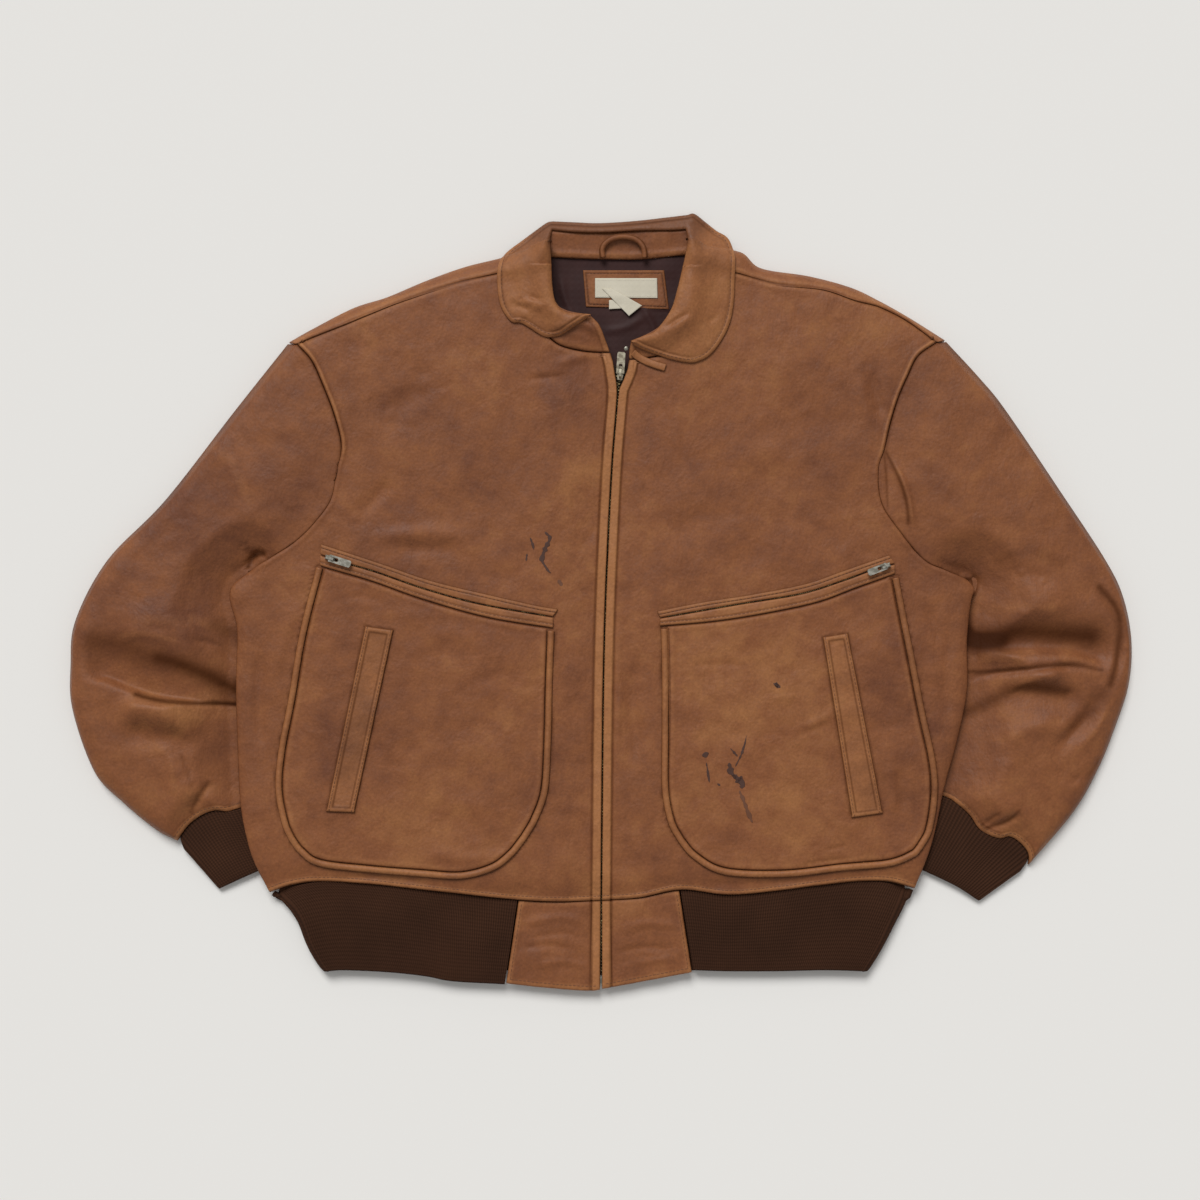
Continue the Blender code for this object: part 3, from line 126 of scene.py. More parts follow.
CUFF_SEAM = {
    "right": [177, 841, 189, 825, 202, 815, 216, 810, 229, 811, 244, 807, 272, 800],
    "left": [1029, 865, 1027, 852, 1019, 842, 1009, 836, 1000, 838, 989, 835, 978, 828, 969, 815, 957, 804,
        945, 797, 918, 790]}
CUFF_END = {
    "right": [219, 889, 240, 879, 292, 856],
    "left": [979, 901, 952, 884, 900, 860]}
NECKLINE = {
    "right": [527, 266, 530, 290, 540, 320, 555, 343, 582, 351.5, 610.5, 353],
    "left": [706, 268, 711, 292, 707, 318, 694, 338, 672, 352, 650, 358, 629, 360]}
ZIP_EDGE = {
    "right": [610.5, 353, 613, 362, 614.5, 372, 616.5, 384, 616.5, 400, 611, 470, 606, 570,
        603.4, 650, 602, 740, 600.6, 901],
    "left": [629, 360, 627.5, 370, 624, 379, 619.5, 389, 618, 402, 612.5, 470, 607.5, 570, 604.8, 650,
        603.4, 740, 602, 901]}
HEM_SEAM = {
    "right": [600.6, 901, 560, 902, 517, 900, 451, 893, 413, 889, 365, 884, 317, 882, 289, 886,
        269, 893],
    "left": [602, 901, 639, 898, 681, 890, 728, 895, 779, 891, 817, 886, 855, 882, 888, 882, 915, 889]}
TAB_SHARE = {"right": 0.25, "left": 0.252}
HEM_TAB_END = {
    "right": [599.5, 988.5, 585, 989.5, 540, 986, 506, 982],
    "left": [602.5, 987.5, 612, 986, 639, 981, 665, 976, 692, 971]}
RIB_END = {
    "right": [505, 983, 451, 980, 423, 975, 384, 971, 340, 969, 323, 970],
    "left": [693, 969, 728, 970, 779, 970, 830, 969, 868, 970]}
RIB_SIDE = {
    "right": [270, 894, 287, 905, 298, 921, 306, 942, 315, 959, 323, 970],
    "left": [914, 890, 905, 903, 896, 920, 886, 940, 877, 956, 868, 970]}

# Neck pieces
COLLAR_ROLL = {
    "right": [591, 315.5, 578, 314.4, 566, 313, 557, 306, 553, 290, 551.5, 262, 550, 240, 552, 229],
    "left": [686, 228, 687.5, 238, 686, 251, 681.6, 271, 676.5, 292, 670, 312, 656, 331, 643, 337,
        630.6, 341.6]}
COLLAR_EDGE = {
    "right": [587.5, 319, 572.6, 329, 561, 336, 550, 338, 541.7, 336, 529, 328, 520.7, 323.5,
        511, 322, 501, 307, 497.5, 287, 498.2, 266, 505, 252, 522, 238, 544.5, 221, 552, 218.5],
    "left": [688, 212, 695, 210.8, 706, 219, 717.3, 228, 727.6, 234.4, 732.5, 244, 735, 258, 734.6, 280,
        733.5, 304, 729, 325, 720, 343, 709.7, 355.6, 699.5, 361.4, 689.3, 363.3, 671.4, 360, 656, 355,
        643.4, 350.5, 634, 346]}
COLLAR_BACK_SEAM = [552, 229, 575, 231, 605, 231.5, 640, 229.5, 671, 229, 686, 228]
COLLAR_BACK_EDGE = [552, 218.5, 575, 219.5, 600, 220.4, 638, 218, 665, 214.8, 688, 212]
STAND_ROLL = {
    "right": [549, 264, 551, 284, 556, 303, 566, 311, 590, 316],
    "left": [683, 266, 679, 290, 671, 312, 657, 329, 631, 342]}
STAND_FRONT = {
    "right": [610, 352, 605, 339, 599, 325, 590, 316],
    "left": [629, 359, 629, 353, 630, 347, 631, 342]}
BACK_STAND_TOP = [555, 234, 575, 235, 605, 235.5, 640, 233.5, 671, 233, 683, 232.5]
BACK_STAND_FOOT = [553, 257, 587, 258.5, 612, 259, 641, 259, 683, 255]
BACK_NECK = [552, 247, 580, 250, 612, 251, 650, 250, 682, 246]
LINING_FOOT = [480, 440, 750, 440]
LABEL_PATCH = [583, 271, 664, 271, 669, 310, 586, 307.5]
LABEL = [595, 279, 657, 279, 657.5, 299, 595, 298.5]
PATCH_STITCHES = [586, 274.2, 661.2, 274.2, 665.6, 306.8, 589, 304.3, 586, 274.2]
LABEL_STITCHES = [597.5, 281, 655, 281, 655, 297, 597.5, 296.8, 597.5, 281]
CARE_TAG = [602, 289.5, 612, 289.5, 642, 306.5, 629, 317]
CARE_TAG_END = [609, 301, 617, 300, 627, 309, 609, 310]
HANGER_LOOP = [603, 259, 602, 249, 607, 242, 616, 238, 627, 237.5, 637, 240.5, 643.5, 248, 645, 259]
THROAT_STRIP = [633, 353, 638, 357, 645, 361, 655, 365, 665, 368]
THROAT_STRIP_WIDTH = 0.0066
THROAT_WALL = 0.0014

# Pockets
POCKET_BAND_TOP = {
    "right": [322, 544, 380, 563, 433, 581, 487, 594, 535, 605, 558, 609],
    "left": [657, 611, 702, 602, 753, 594, 804, 584, 842, 571, 888, 555]}
POCKET_BAND_FOOT = {
    "right": [321, 566, 372, 581, 423, 599, 487, 617, 553, 628],
    "left": [660, 626, 715, 621, 766, 613, 817, 602, 855, 588, 894, 574]}
POCKET_OUTER = {
    "right": [320, 568, 303, 635, 292, 699, 282, 750, 279, 788, 285, 821, 292, 838],
    "left": [895, 578, 906, 635, 921, 711, 932, 762, 934, 795, 929, 829, 920, 846]}
POCKET_INNER = {
    "right": [551, 631, 549, 690, 548, 735, 545, 788, 535, 818, 524, 837],
    "left": [664, 629, 665, 673, 665, 737, 665, 788, 671, 821, 681, 840]}
POCKET_FOOT = {
    "right": [292, 838, 302, 851, 321, 863, 372, 869, 423, 873, 461, 875, 492, 867, 511, 853,
        524, 837],
    "left": [920, 846, 912, 854, 888, 863, 842, 867, 791, 873, 743, 873, 715, 868, 693, 854, 681, 840]}
HAND_WELT = {
    "right": [366, 626, 394, 630, 355, 812, 327, 811],
    "left": [822, 637, 847, 633, 882, 813, 851, 817]}
POCKET_ZIP = {
    "right": [321, 555, 345, 563, 376, 572, 425, 589, 480, 604, 553, 617],
    "left": [894, 564, 872, 570, 842, 581, 800, 594, 740, 604, 660, 618]}
PATCH_WALL = 0.0012
PIPING_WIDTH = 0.0062
PIPING_WALL = 0.0009
PIPING_RISE = 0.0026

# The largest folds: path in photo pixels, half widths above and below it and height in millimetres
SLEEVE_FOLDS = {
    "right": [([138, 622, 165, 618, 195, 620, 224, 630], 20, 12, 3.5),
        ([106, 676, 150, 692, 196, 699, 240, 704], 30, 4, -9.5),
        ([138, 706, 176, 711, 206, 713, 240, 716], 6, 15, 7.2),
        ([140, 733, 165, 738, 195, 744, 230, 756], 11, 14, -4)],
    "left": [([966, 610, 1016, 608, 1050, 607], 18, 10, 3.5),
        ([966, 645, 1000, 647, 1035, 645, 1070, 645, 1098, 654], 22, 9, -9.5),
        ([966, 690, 1008, 679, 1050, 675], 10, 7, 6.5),
        ([962, 722, 985, 708, 1000, 701, 1020, 693, 1066, 696], 8, 18, -6)]}

# Zip hardware
SLIDER_PLACE = {"main": (620.2, 373.0), "right": (331, 558.2), "left": (884.5, 566.2)}

# Share by which the back's first rows start along the armhole
BACK_TIP = 0.035
YOKE_INSET = 0.0075
# Height at which a yoke or a sleeve turns under at its outline, and the wall there
YOKE_MIDDLE = 0.0022
SLEEVE_MIDDLE = 0.0019
SOFT_WALL = 0.0016
LINING_INSET = 0.002
STAND_RISE = 0.004
STAND_WIDTH = 0.02
COLLAR_WALL = 0.0022
COLLAR_CLEAR = 0.0009
COLLAR_FALL = 0.016
COLLAR_OVER_ROLL = 0.0026
STAND_BACK_TOP = 0.0082
STAND_BACK_FALL = 0.002
WELT_WALL = 0.0016
ON_FRONT = 0.0007
ZIP_MOUTH = 0.0012
ZIP_TAPE_WIDTH = 0.014
TAPE_WALL = 0.0016
TAPE_DOWN = 0.0029
TAB_TOP = 0.0135
RIB_TOP = BODY_HEIGHT - 0.0035
RIB_FALL = 0.0015
LINING_TOP = LEATHER + GAP + LINING
PAPER = 0.0006

# Each side, and the sign that turns a step to its outer side
SIDES = {"right": 1, "left": -1}
ARM_SPLIT = 0.47
ARM_UPPER = np.array([0, 0.025, 0.08, 0.2, 0.38, 0.58, 0.79, 1.0])
ARM_LOWER = np.array([0.15, 0.31, 0.48, 0.65, 0.83, 1.0])
ARM_STEPS = np.r_[ARM_UPPER * ARM_SPLIT, ARM_SPLIT + ARM_LOWER * (1 - ARM_SPLIT)]
NECK_STEPS = ARM_STEPS[:9] / ARM_STEPS[8]
SIDE_STEPS = np.array([0.06, 0.14, 0.25, 0.38, 0.52, 0.68, 0.84, 0.94, 1.0])
# The armhole's share of the rows down the sewn edge; the side seam has the rest
ARM_PART = 0.45
BODY_ROWS = np.r_[ARM_STEPS * ARM_PART, ARM_PART + SIDE_STEPS * (1 - ARM_PART)]
# Row at which the neck's corner lies
NECK_PART = BODY_ROWS[len(NECK_STEPS) - 1]
BACK_INSET = 0.009


def plan(points, level=0.0):
    """Photo pixels to metres on the plan: scaled about the middle, less the lens's spread at that level."""
    scale = PX * (1 - level / VIEW_HEIGHT)
    return (np.reshape(np.asarray(points, float), (-1, 2)).squeeze() - PHOTO_MIDDLE) * (scale, -scale)


def spline(points, steps=10):
    """Catmull-Rom curve through the points as a dense polyline."""
    p = np.asarray(points, float)
    p = np.vstack([2 * p[0] - p[1], p, 2 * p[-1] - p[-2]])
    t = np.linspace(0, 1, steps, endpoint=False)[None, :, None]
    a, b, c, d = (p[i:len(p) - 3 + i, None, :] for i in range(4))
    bend = 2 * b + (c - a) * t + (2 * a - 5 * b + 4 * c - d) * t**2 + (3 * b - a - 3 * c + d) * t**3
    return np.vstack([0.5 * bend.reshape(-1, p.shape[1]), p[-2]])


def lengths(line):
    """Length of a polyline up to each of its points."""
    return np.r_[0, np.linalg.norm(np.diff(line, axis=0), axis=1).cumsum()]


def along(line, shares):
    """Points of a polyline at shares of its length."""
    length = lengths(line)
    where = np.asarray(shares) * length[-1]
    return np.stack([np.interp(where, length, axis) for axis in line.T], axis=-1)


def left_of(line):
    """Unit vectors to the left of a polyline."""
    step = np.gradient(line, axis=0)
    step /= np.linalg.norm(step, axis=1, keepdims=True)
    return np.stack([-step[:, 1], step[:, 0]], axis=1)


def beside(line, offset):
    """The polyline moved sideways by an offset, to its left when positive."""
    return line + offset * left_of(line)


def between(near, far, shares):
    """Point grid from one line to another, at shares of the way."""
    r = shares[None, :, None]
    return near[:, None] * (1 - r) + far[:, None] * r


def distance(points, line):
    """Least distance from each point to the segments of a polyline."""
    best = np.full(points.shape[:-1], np.inf)
    for start, end in zip(line[:-1], line[1:]):
        step = end - start
        share = np.clip((points - start) @ step / max(step @ step, 1e-12), 0, 1)
        best = np.minimum(best, np.linalg.norm(points - start - share[..., None] * step, axis=-1))
    return best


def inside(points, loop):
    """True where a point lies within a closed outline, by counting the edges to its right."""
    x, y = points[..., 0], points[..., 1]
    odd = np.zeros(x.shape, bool)
    for (x0, y0), (x1, y1) in zip(loop, np.roll(loop, -1, axis=0)):
        if y0 != y1:
            odd ^= ((y0 > y) != (y1 > y)) & (x < x0 + (y - y0) * (x1 - x0) / (y1 - y0))
    return odd


def ease(share):
    """Smooth step from 0 to 1."""
    s = np.clip(share, 0, 1)
    return s * s * (3 - 2 * s)


def rounded(d, radius):
    """Quarter circle from 0 at the edge to 1 at the radius."""
    return np.sqrt(1 - (1 - np.clip(d / radius, 0, 1))**2)


def soft_least(a, b, blend=0.002):
    """The lesser of two fields with a soft change from one to the other."""
    share = np.clip(blend - np.abs(a - b), 0, None) / blend
    return np.minimum(a, b) - share**2 * blend / 4


def coons(foot, head, near, far, u, v):
    """Plan grid [u, v] between four edges: foot and head run along u, near and far along v."""
    foot, head, near, far = foot[:, None], head[:, None], near[None], far[None]
    u, v = u[:, None, None], v[None, :, None]
    ruled = (1 - v) * foot + v * head + (1 - u) * near + u * far
    corners = (1 - u) * ((1 - v) * foot[:1] + v * head[:1]) + u * ((1 - v) * foot[-1:] + v * head[-1:])
    return ruled - corners


def curve(points, level=TOP_LEVEL, steps=10):
    """Smooth plan curve through photo points at a level."""
    return spline(plan(points, level), steps)


def curves(points, level=TOP_LEVEL):
    """The same for both sides."""
    return {side: curve(points[side], level) for side in SIDES}


def nearest(p, lines):
    """Least distance from each point to the curves of both sides."""
    return np.minimum(distance(p, lines["right"]), distance(p, lines["left"]))


SHOULDERS = curves(SHOULDER_LINE, EDGE_LEVEL)
SLEEVE_EDGES = curves(SLEEVE_EDGE, EDGE_LEVEL)
BODY_SIDES = curves(BODY_SIDE)
ARMHOLES = curves(ARMHOLE)
SLEEVE_INNERS = curves(SLEEVE_INNER, 0)
HEM_SEAMS = curves(HEM_SEAM)
CUFF_SEAMS = curves(CUFF_SEAM, EDGE_LEVEL)
NECKLINES = curves(NECKLINE)
ZIP_EDGES = curves(ZIP_EDGE)
SHOULDER_SEAMS = curves(SHOULDER_SEAM)


def side_lift(p):
    """How far the body's back is held up by the sleeve and cuff under its side edges."""
    d = nearest(p, BODY_SIDES)
    top, foot = -plan((600, 528))[1], -plan((600, 886))[1]
    down = -p[..., 1]
    window = ease((down - top) / 0.055) * (1 - ease((down - foot) / 0.036))
    return SIDE_LIFT * (1 - ease((d - SIDE_LIFT_WIDTH) / SIDE_LIFT_FALL)) * window


def outline_distance(p):
    """Distance to the garment's outline along shoulders and outer sleeves."""
    return np.minimum(nearest(p, SHOULDERS), nearest(p, SLEEVE_EDGES))


def body_top(p):
    """Outer face of fronts and shoulders: rounded edges, a flat lie and a low swell in the middle."""
    d_side = nearest(p, BODY_SIDES)
    d_out = outline_distance(p)
    rest = side_lift(p) + LEATHER + GAP + RIM
    high = BODY_HEIGHT + BODY_SWELL * ease(d_side / 0.09) * ease(d_out / 0.09)
    d_hem = nearest(p, HEM_SEAMS)
    high = high - 0.0035 * np.exp(-(d_hem / 0.014)**2)
    d_zip = nearest(p, ZIP_EDGES)
    high = high - 0.003 * np.exp(-(d_zip / 0.03)**2)
    return rest + (high - rest) * rounded(d_side, SIDE_ROUND) * rounded(d_out, OUTLINE_ROUND)


def lean(p, line):
    """Distance to a polyline, and how far to its left (1) or right (-1) a point lies."""
    best, side = np.full(p.shape[:-1], np.inf), np.zeros(p.shape[:-1])
    for start, end in zip(line[:-1], line[1:]):
        step = end - start
        offset = p - start
        share = np.clip(offset @ step / (step @ step), 0, 1)
        d = np.linalg.norm(offset - share[..., None] * step, axis=-1)
        across = (step[0] * offset[..., 1] - step[1] * offset[..., 0]) / np.linalg.norm(step)
        side = np.where(d < best, across / np.maximum(d, 1e-9), side)
        best = np.minimum(best, d)
    return best, side


def sleeve_folds(p, side):
    """Sum of soft ridges and troughs: bells that may fall off faster below their path than above it."""
    total = np.zeros(p.shape[:-1])
    for path, above, below, height in SLEEVE_FOLDS[side]:
        d, left = lean(p, curve(path, steps=6))
        width = MM * (above * (1 + left) + below * (1 - left)) / 2
        total += MM * height * np.exp(-(d / width)**2)
    return total


def sleeve_top(p, side):
    """Outer face of a sleeve: rounded outer edge, folds, level with the body at the armhole, low under it."""
    edge = SLEEVE_EDGES[side]
    d_out = distance(p, edge)
    rest = LEATHER + GAP + RIM
    puff = (SLEEVE_HEIGHT - rest) * rounded(d_out, 0.018) + SLEEVE_SWELL * ease(d_out / 0.08)
    free = rest + puff + sleeve_folds(p, side) * ease(d_out / 0.03)
    d_arm = distance(p, ARMHOLES[side])
    share = ease(d_arm / 0.045)
    joined = body_top(p) * (1 - share) + free * share
    middle = plan([(430, 893), (430, 571)] if side == "right" else [(770, 889), (770, 580)])
    under = inside(p, np.vstack([BODY_SIDES[side], middle]))
    d_side = np.where(under, 0, distance(p, BODY_SIDES[side]))
    d_cuff = distance(p, CUFF_SEAMS[side])
    top = soft_least(joined, SLEEVE_UNDER_BODY + 0.45 * np.clip(d_side - SLEEVE_TUCK, 0, None))
    return soft_least(top, np.maximum(0.0085, SLEEVE_UNDER_BODY) + 0.5 * d_cuff)


def neck_level(p):
    """Level of the front and, inside the neckline, of the stand that rises from it toward the roll."""
    d_neck = nearest(p, NECKLINES)
    loop = np.vstack([NECKLINES["right"], NECKLINES["left"][::-1]])
    return body_top(p) + STAND_RISE * ease(d_neck / STAND_WIDTH) * inside(p, loop)


COLLAR_ROWS = np.array([0, 0.1, 0.25, 0.5, 0.75, 0.92, 1.0])
COLLAR_CREST_SIDE = np.array([0.35, 0.8, 1.0, 0.66, 0.28, 0.06, 0.0])
COLLAR_CREST_BACK = np.array([0.85, 0.95, 1.0, 0.95, 0.78, 0.42, 0.0])
COLLAR_CREST = {
    "right": [0.0012, 0.003, 0.0055, 0.0065, 0.0068, 0.0085, 0.007],
    "left": [0.007, 0.0085, 0.0068, 0.0065, 0.0055, 0.003, 0.0012]}
BACK_LINE = np.vstack([SHOULDERS["right"][::-1], plan([552, 243, 612, 242, 686, 241]), SHOULDERS["left"]])


def collar_rest(p):
    """What the collar lies on: stand and front, and past the shoulder line the floor."""
    loop = np.vstack([BACK_LINE, [(BACK_LINE[-1, 0], -1), (BACK_LINE[0, 0], -1)]])
    signed = distance(p, BACK_LINE) * np.where(inside(p, loop), 1, -1)
    edge = LEATHER + GAP + RIM + COLLAR_CLEAR
    beyond = GAP + (edge - GAP) * (1 - ease(-signed / COLLAR_FALL))
    over_roll = COLLAR_OVER_ROLL * (1 - ease(np.abs(signed - 0.008) / 0.02))
    return np.where(signed > 0, np.maximum(neck_level(p) + COLLAR_CLEAR, edge), beyond) + over_roll


def zip_level(line):
    """Top of the main zip's tape: just under the fronts, and under the hem tabs below the hem seam."""
    hem_y, foot_y = plan((0, 901), TOP_LEVEL)[1], plan((0, 985), TOP_LEVEL)[1]
    share = np.clip((hem_y - line[:, 1]) / (hem_y - foot_y), 0, 1)
    tab = np.minimum(TAB_TOP - RIB_FALL * share, body_top(line[-3:-2]))
    return np.where(line[:, 1] > hem_y + 0.002, body_top(line), tab) - TAPE_DOWN


ZIP_TAPE = [619.5, 366, 618, 384, 617.2, 402, 611.8, 470, 606.8, 570, 604, 650, 602.7, 740, 601.3, 900,
    600.8, 976]
ZIP_TAPE_STEPS = np.array([0, 0.03, 0.09, 0.17, 0.26, 0.36, 0.46, 0.56, 0.66, 0.74, 0.8, 0.835, 0.86,
                           0.88, 0.94, 1.0])


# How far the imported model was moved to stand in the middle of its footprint
LABEL_BOX = np.array(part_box("label"))[:, :2]
LABEL_PLAN = plan(LABEL)
SHIFT = LABEL_BOX.mean(axis=0) - (LABEL_PLAN.min(axis=0) + LABEL_PLAN.max(axis=0)) / 2

# Soft ridges and troughs of the leather: path in photo pixels, half width and height in millimetres
FRONT_CREASES = [([356, 517, 374, 500, 395, 478], 6, -1.4),
    ([371, 538, 410, 534, 440, 534, 470, 541], 7, 1.8), ([392, 548, 430, 550, 462, 546], 6, -1.2),
    ([526, 380, 552, 377, 579, 377], 2.8, -0.9), ([555, 366, 570, 360, 590, 356], 4, 1),
    ([390, 415, 410, 398, 424, 384], 10, -1.4), ([574, 553, 586, 541, 596, 529], 3, -0.7),
    ([590, 700, 592, 740, 596, 780], 4, -0.7), ([638, 650, 632, 700, 636, 740, 628, 780], 6, -1.6),
    ([617, 640, 619, 700, 616, 760], 4, 0.8), ([924, 604, 934, 624, 941, 646], 4, -1.2),
    ([951, 620, 946, 680, 948, 730], 5, -1), ([870, 370, 876, 395, 885, 420], 6, -1.6),
    ([858, 372, 862, 400, 872, 428], 6, 1.2), ([905, 545, 930, 548, 956, 560], 6, -1.4),
    ([720, 470, 760, 455, 800, 452], 12, 1.2), ([664, 540, 700, 520, 745, 512], 10, -1),
    ([420, 850, 470, 858, 520, 850], 6, 0.8), ([262, 640, 258, 700, 262, 760], 5, -1.6),
    ([300, 600, 283, 640, 270, 690], 6, 1), ([330, 880, 380, 876, 440, 884], 4, -1),
    ([700, 884, 760, 882, 820, 878], 4, -0.8), ([244, 566, 254, 558, 268, 552, 290, 540], 4, -2)]
POCKET_CREASES = [([801, 730, 815, 722, 832, 713], 4, 1.1), ([795, 736, 815, 728, 830, 722], 3, -0.7),
    ([898, 766, 901, 790, 903, 816], 5, -1.3), ([890, 750, 892, 790, 893, 820], 5, 0.9),
    ([796, 866, 825, 861, 857, 858], 2.2, -1.2), ([822, 850, 836, 847, 848, 845], 2, -0.8),
    ([770, 700, 782, 697, 796, 698], 3, 0.7), ([690, 665, 720, 664, 750, 666], 3, -0.6),
    ([420, 640, 450, 634, 480, 640], 8, 1), ([340, 600, 360, 596, 385, 602], 4, -0.8),
    ([470, 690, 500, 676, 530, 680], 8, -0.9), ([420, 780, 450, 800, 500, 806], 10, 1)]
SLEEVE_CREASES = {
    "right": [([150, 699, 194, 703, 238, 706], 2.5, -2.2),
        ([211, 780, 202, 794, 190, 812], 4, -2.6), ([182, 753, 188, 770, 190, 784], 5, -1.5),
        ([150, 740, 170, 756, 176, 784], 6, 1.4), ([243, 548, 252, 556, 262, 560], 3.5, -3.4),
        ([190, 640, 214, 645, 234, 664], 3, -1.6), ([120, 636, 146, 634, 176, 640], 6, 1.8),
        ([214, 684, 228, 690, 240, 700], 3, -1.8), ([205, 440, 230, 460, 250, 500], 12, 1.2),
        ([170, 540, 190, 560, 200, 590], 10, -1.2)],
    "left": [([1020, 572, 1032, 575, 1043, 581], 6, -1.6), ([975, 656, 997, 656, 1030, 654], 7, 3),
        ([968, 680, 995, 674, 1063, 666, 1102, 670], 3, -3.4), ([984, 660, 1030, 655, 1095, 661], 6, 1.8),
        ([1092, 580, 1106, 598, 1117, 618, 1121, 644, 1118, 671, 1110, 694], 4.5, -3.8),
        ([1100, 706, 1078, 730, 1052, 752], 6, -2.6), ([1103, 684, 1084, 717, 1062, 744], 6, -2.6),
        ([1112, 700, 1095, 730, 1074, 755], 4, 1.6), ([1019, 810, 1014, 818, 999, 825, 986, 829], 4, -3.2),
        ([999, 812, 992, 819, 983, 825], 3, -2.2), ([1083, 774, 1078, 778, 1072, 782], 3, -1.4),
        ([1099, 761, 1096, 766, 1093, 771], 3, -1.2), ([885, 455, 888, 480, 888, 508], 2.8, -1.6),
        ([889, 455, 899, 475, 908, 500, 913, 530], 3.2, 3.2), ([1000, 740, 1030, 728, 1060, 720], 8, 2.2),
        ([930, 560, 950, 566, 972, 572], 4, -2.6)]}

STAND_CREASES = [([560, 328, 580, 330, 602, 344], 4, -1.4), ([570, 320, 586, 326, 600, 332], 3, 1.2),
    ([548, 336, 570, 344, 600, 350], 3, 1)]
TAB_CREASES = [([520, 925, 560, 918, 590, 924], 4, 1.2), ([515, 950, 548, 946, 580, 952], 3, -1),
    ([530, 968, 560, 962, 592, 968], 3, 0.9), ([620, 930, 650, 924, 684, 928], 4, 1.2),
    ([612, 955, 640, 948, 676, 950], 3, -1), ([524, 940, 560, 934, 586, 940], 3, -0.8),
    ([630, 966, 650, 962, 682, 958], 3, 0.8)]
LINING_CREASES = [([640, 300, 655, 330, 650, 350], 3, 1.4), ([560, 270, 566, 300, 584, 330], 3, 1.4),
    ([600, 330, 625, 326, 650, 312], 3, 1)]
COLLAR_CREASES = [([514, 306, 522, 308, 531, 312], 2.4, -1.6), ([528, 297, 534, 299, 541, 302], 2.2, -1.4),
    ([520, 300, 536, 306, 548, 310], 4, 1.2), ([664, 330, 676, 322, 689, 314], 1.8, -2.2),
    ([668, 336, 682, 326, 698, 317], 4, 1), ([708, 323, 712, 320, 716, 317], 2, -1),
    ([505, 270, 512, 285, 514, 300], 6, -1.2), ([716, 250, 718, 280, 714, 300], 7, -1),
    ([548, 330, 566, 326, 580, 316], 4, 1.4)]
PINCHES = {
    "right": [([246, 566, 251, 557, 258, 553, 268, 556], 3, -4.2)],
    "left": [([971, 577, 977, 580, 977, 588, 973, 596], 3, -4)]}

# Painted shade in the sleeves' deep folds and creases, and where the body's edge shades the sleeve: path in
# photo pixels, half width in millimetres, strength
FOLD_SHADE_STROKES = {
    "right": [([92, 640, 120, 645, 152, 657, 179, 662, 207, 676, 237, 698], 10.5, 0.5),
        ([160, 658, 184, 666, 214, 678, 236, 690], 7, 0.34),
        ([136, 694, 150, 698, 176, 702, 239, 705], 2, 0.85), ([214, 626, 228, 632, 240, 640], 7, 0.4),
        ([140, 725, 170, 728, 200, 730], 9, 0.22), ([235, 680, 240, 705, 243, 790], 3.5, 0.4),
        ([246, 566, 252, 557, 262, 554], 2.2, 0.75), ([208, 782, 198, 796, 190, 812], 1.6, 0.45),
        ([181, 754, 187, 770, 191, 784], 1.8, 0.25), ([238, 806, 243, 796, 243, 780], 2, 0.5)],
    "left": [([966, 640, 985, 640, 1017, 632, 1047, 633, 1091, 636], 10.5, 0.78),
        ([967, 634, 978, 640, 1000, 644], 9.5, 0.6), ([969, 672, 995, 671, 1064, 665, 1102, 670], 2, 0.55),
        ([966, 714, 997, 698, 1017, 687, 1064, 692], 6, 0.55), ([1000, 560, 1030, 552, 1060, 562], 6, 0.22),
        ([1099, 587, 1116, 607, 1121, 631, 1117, 660, 1110, 685], 3, 0.6),
        ([886, 453, 893, 467, 901, 486, 906, 505, 908, 524], 1.5, 0.6),
        ([884, 456, 886, 480, 887, 506], 1.2, 0.4), ([1103, 694, 1090, 712, 1074, 726], 6, 0.32),
        ([966, 590, 972, 600, 970, 640], 3.5, 0.5), ([969, 579, 977, 582, 977, 594], 2.4, 0.8),
        ([1019, 810, 1008, 821, 986, 829], 1.6, 0.5), ([999, 812, 991, 819, 983, 826], 1.4, 0.35),
        ([1099, 762, 1095, 768, 1090, 774], 2, 0.3)]}
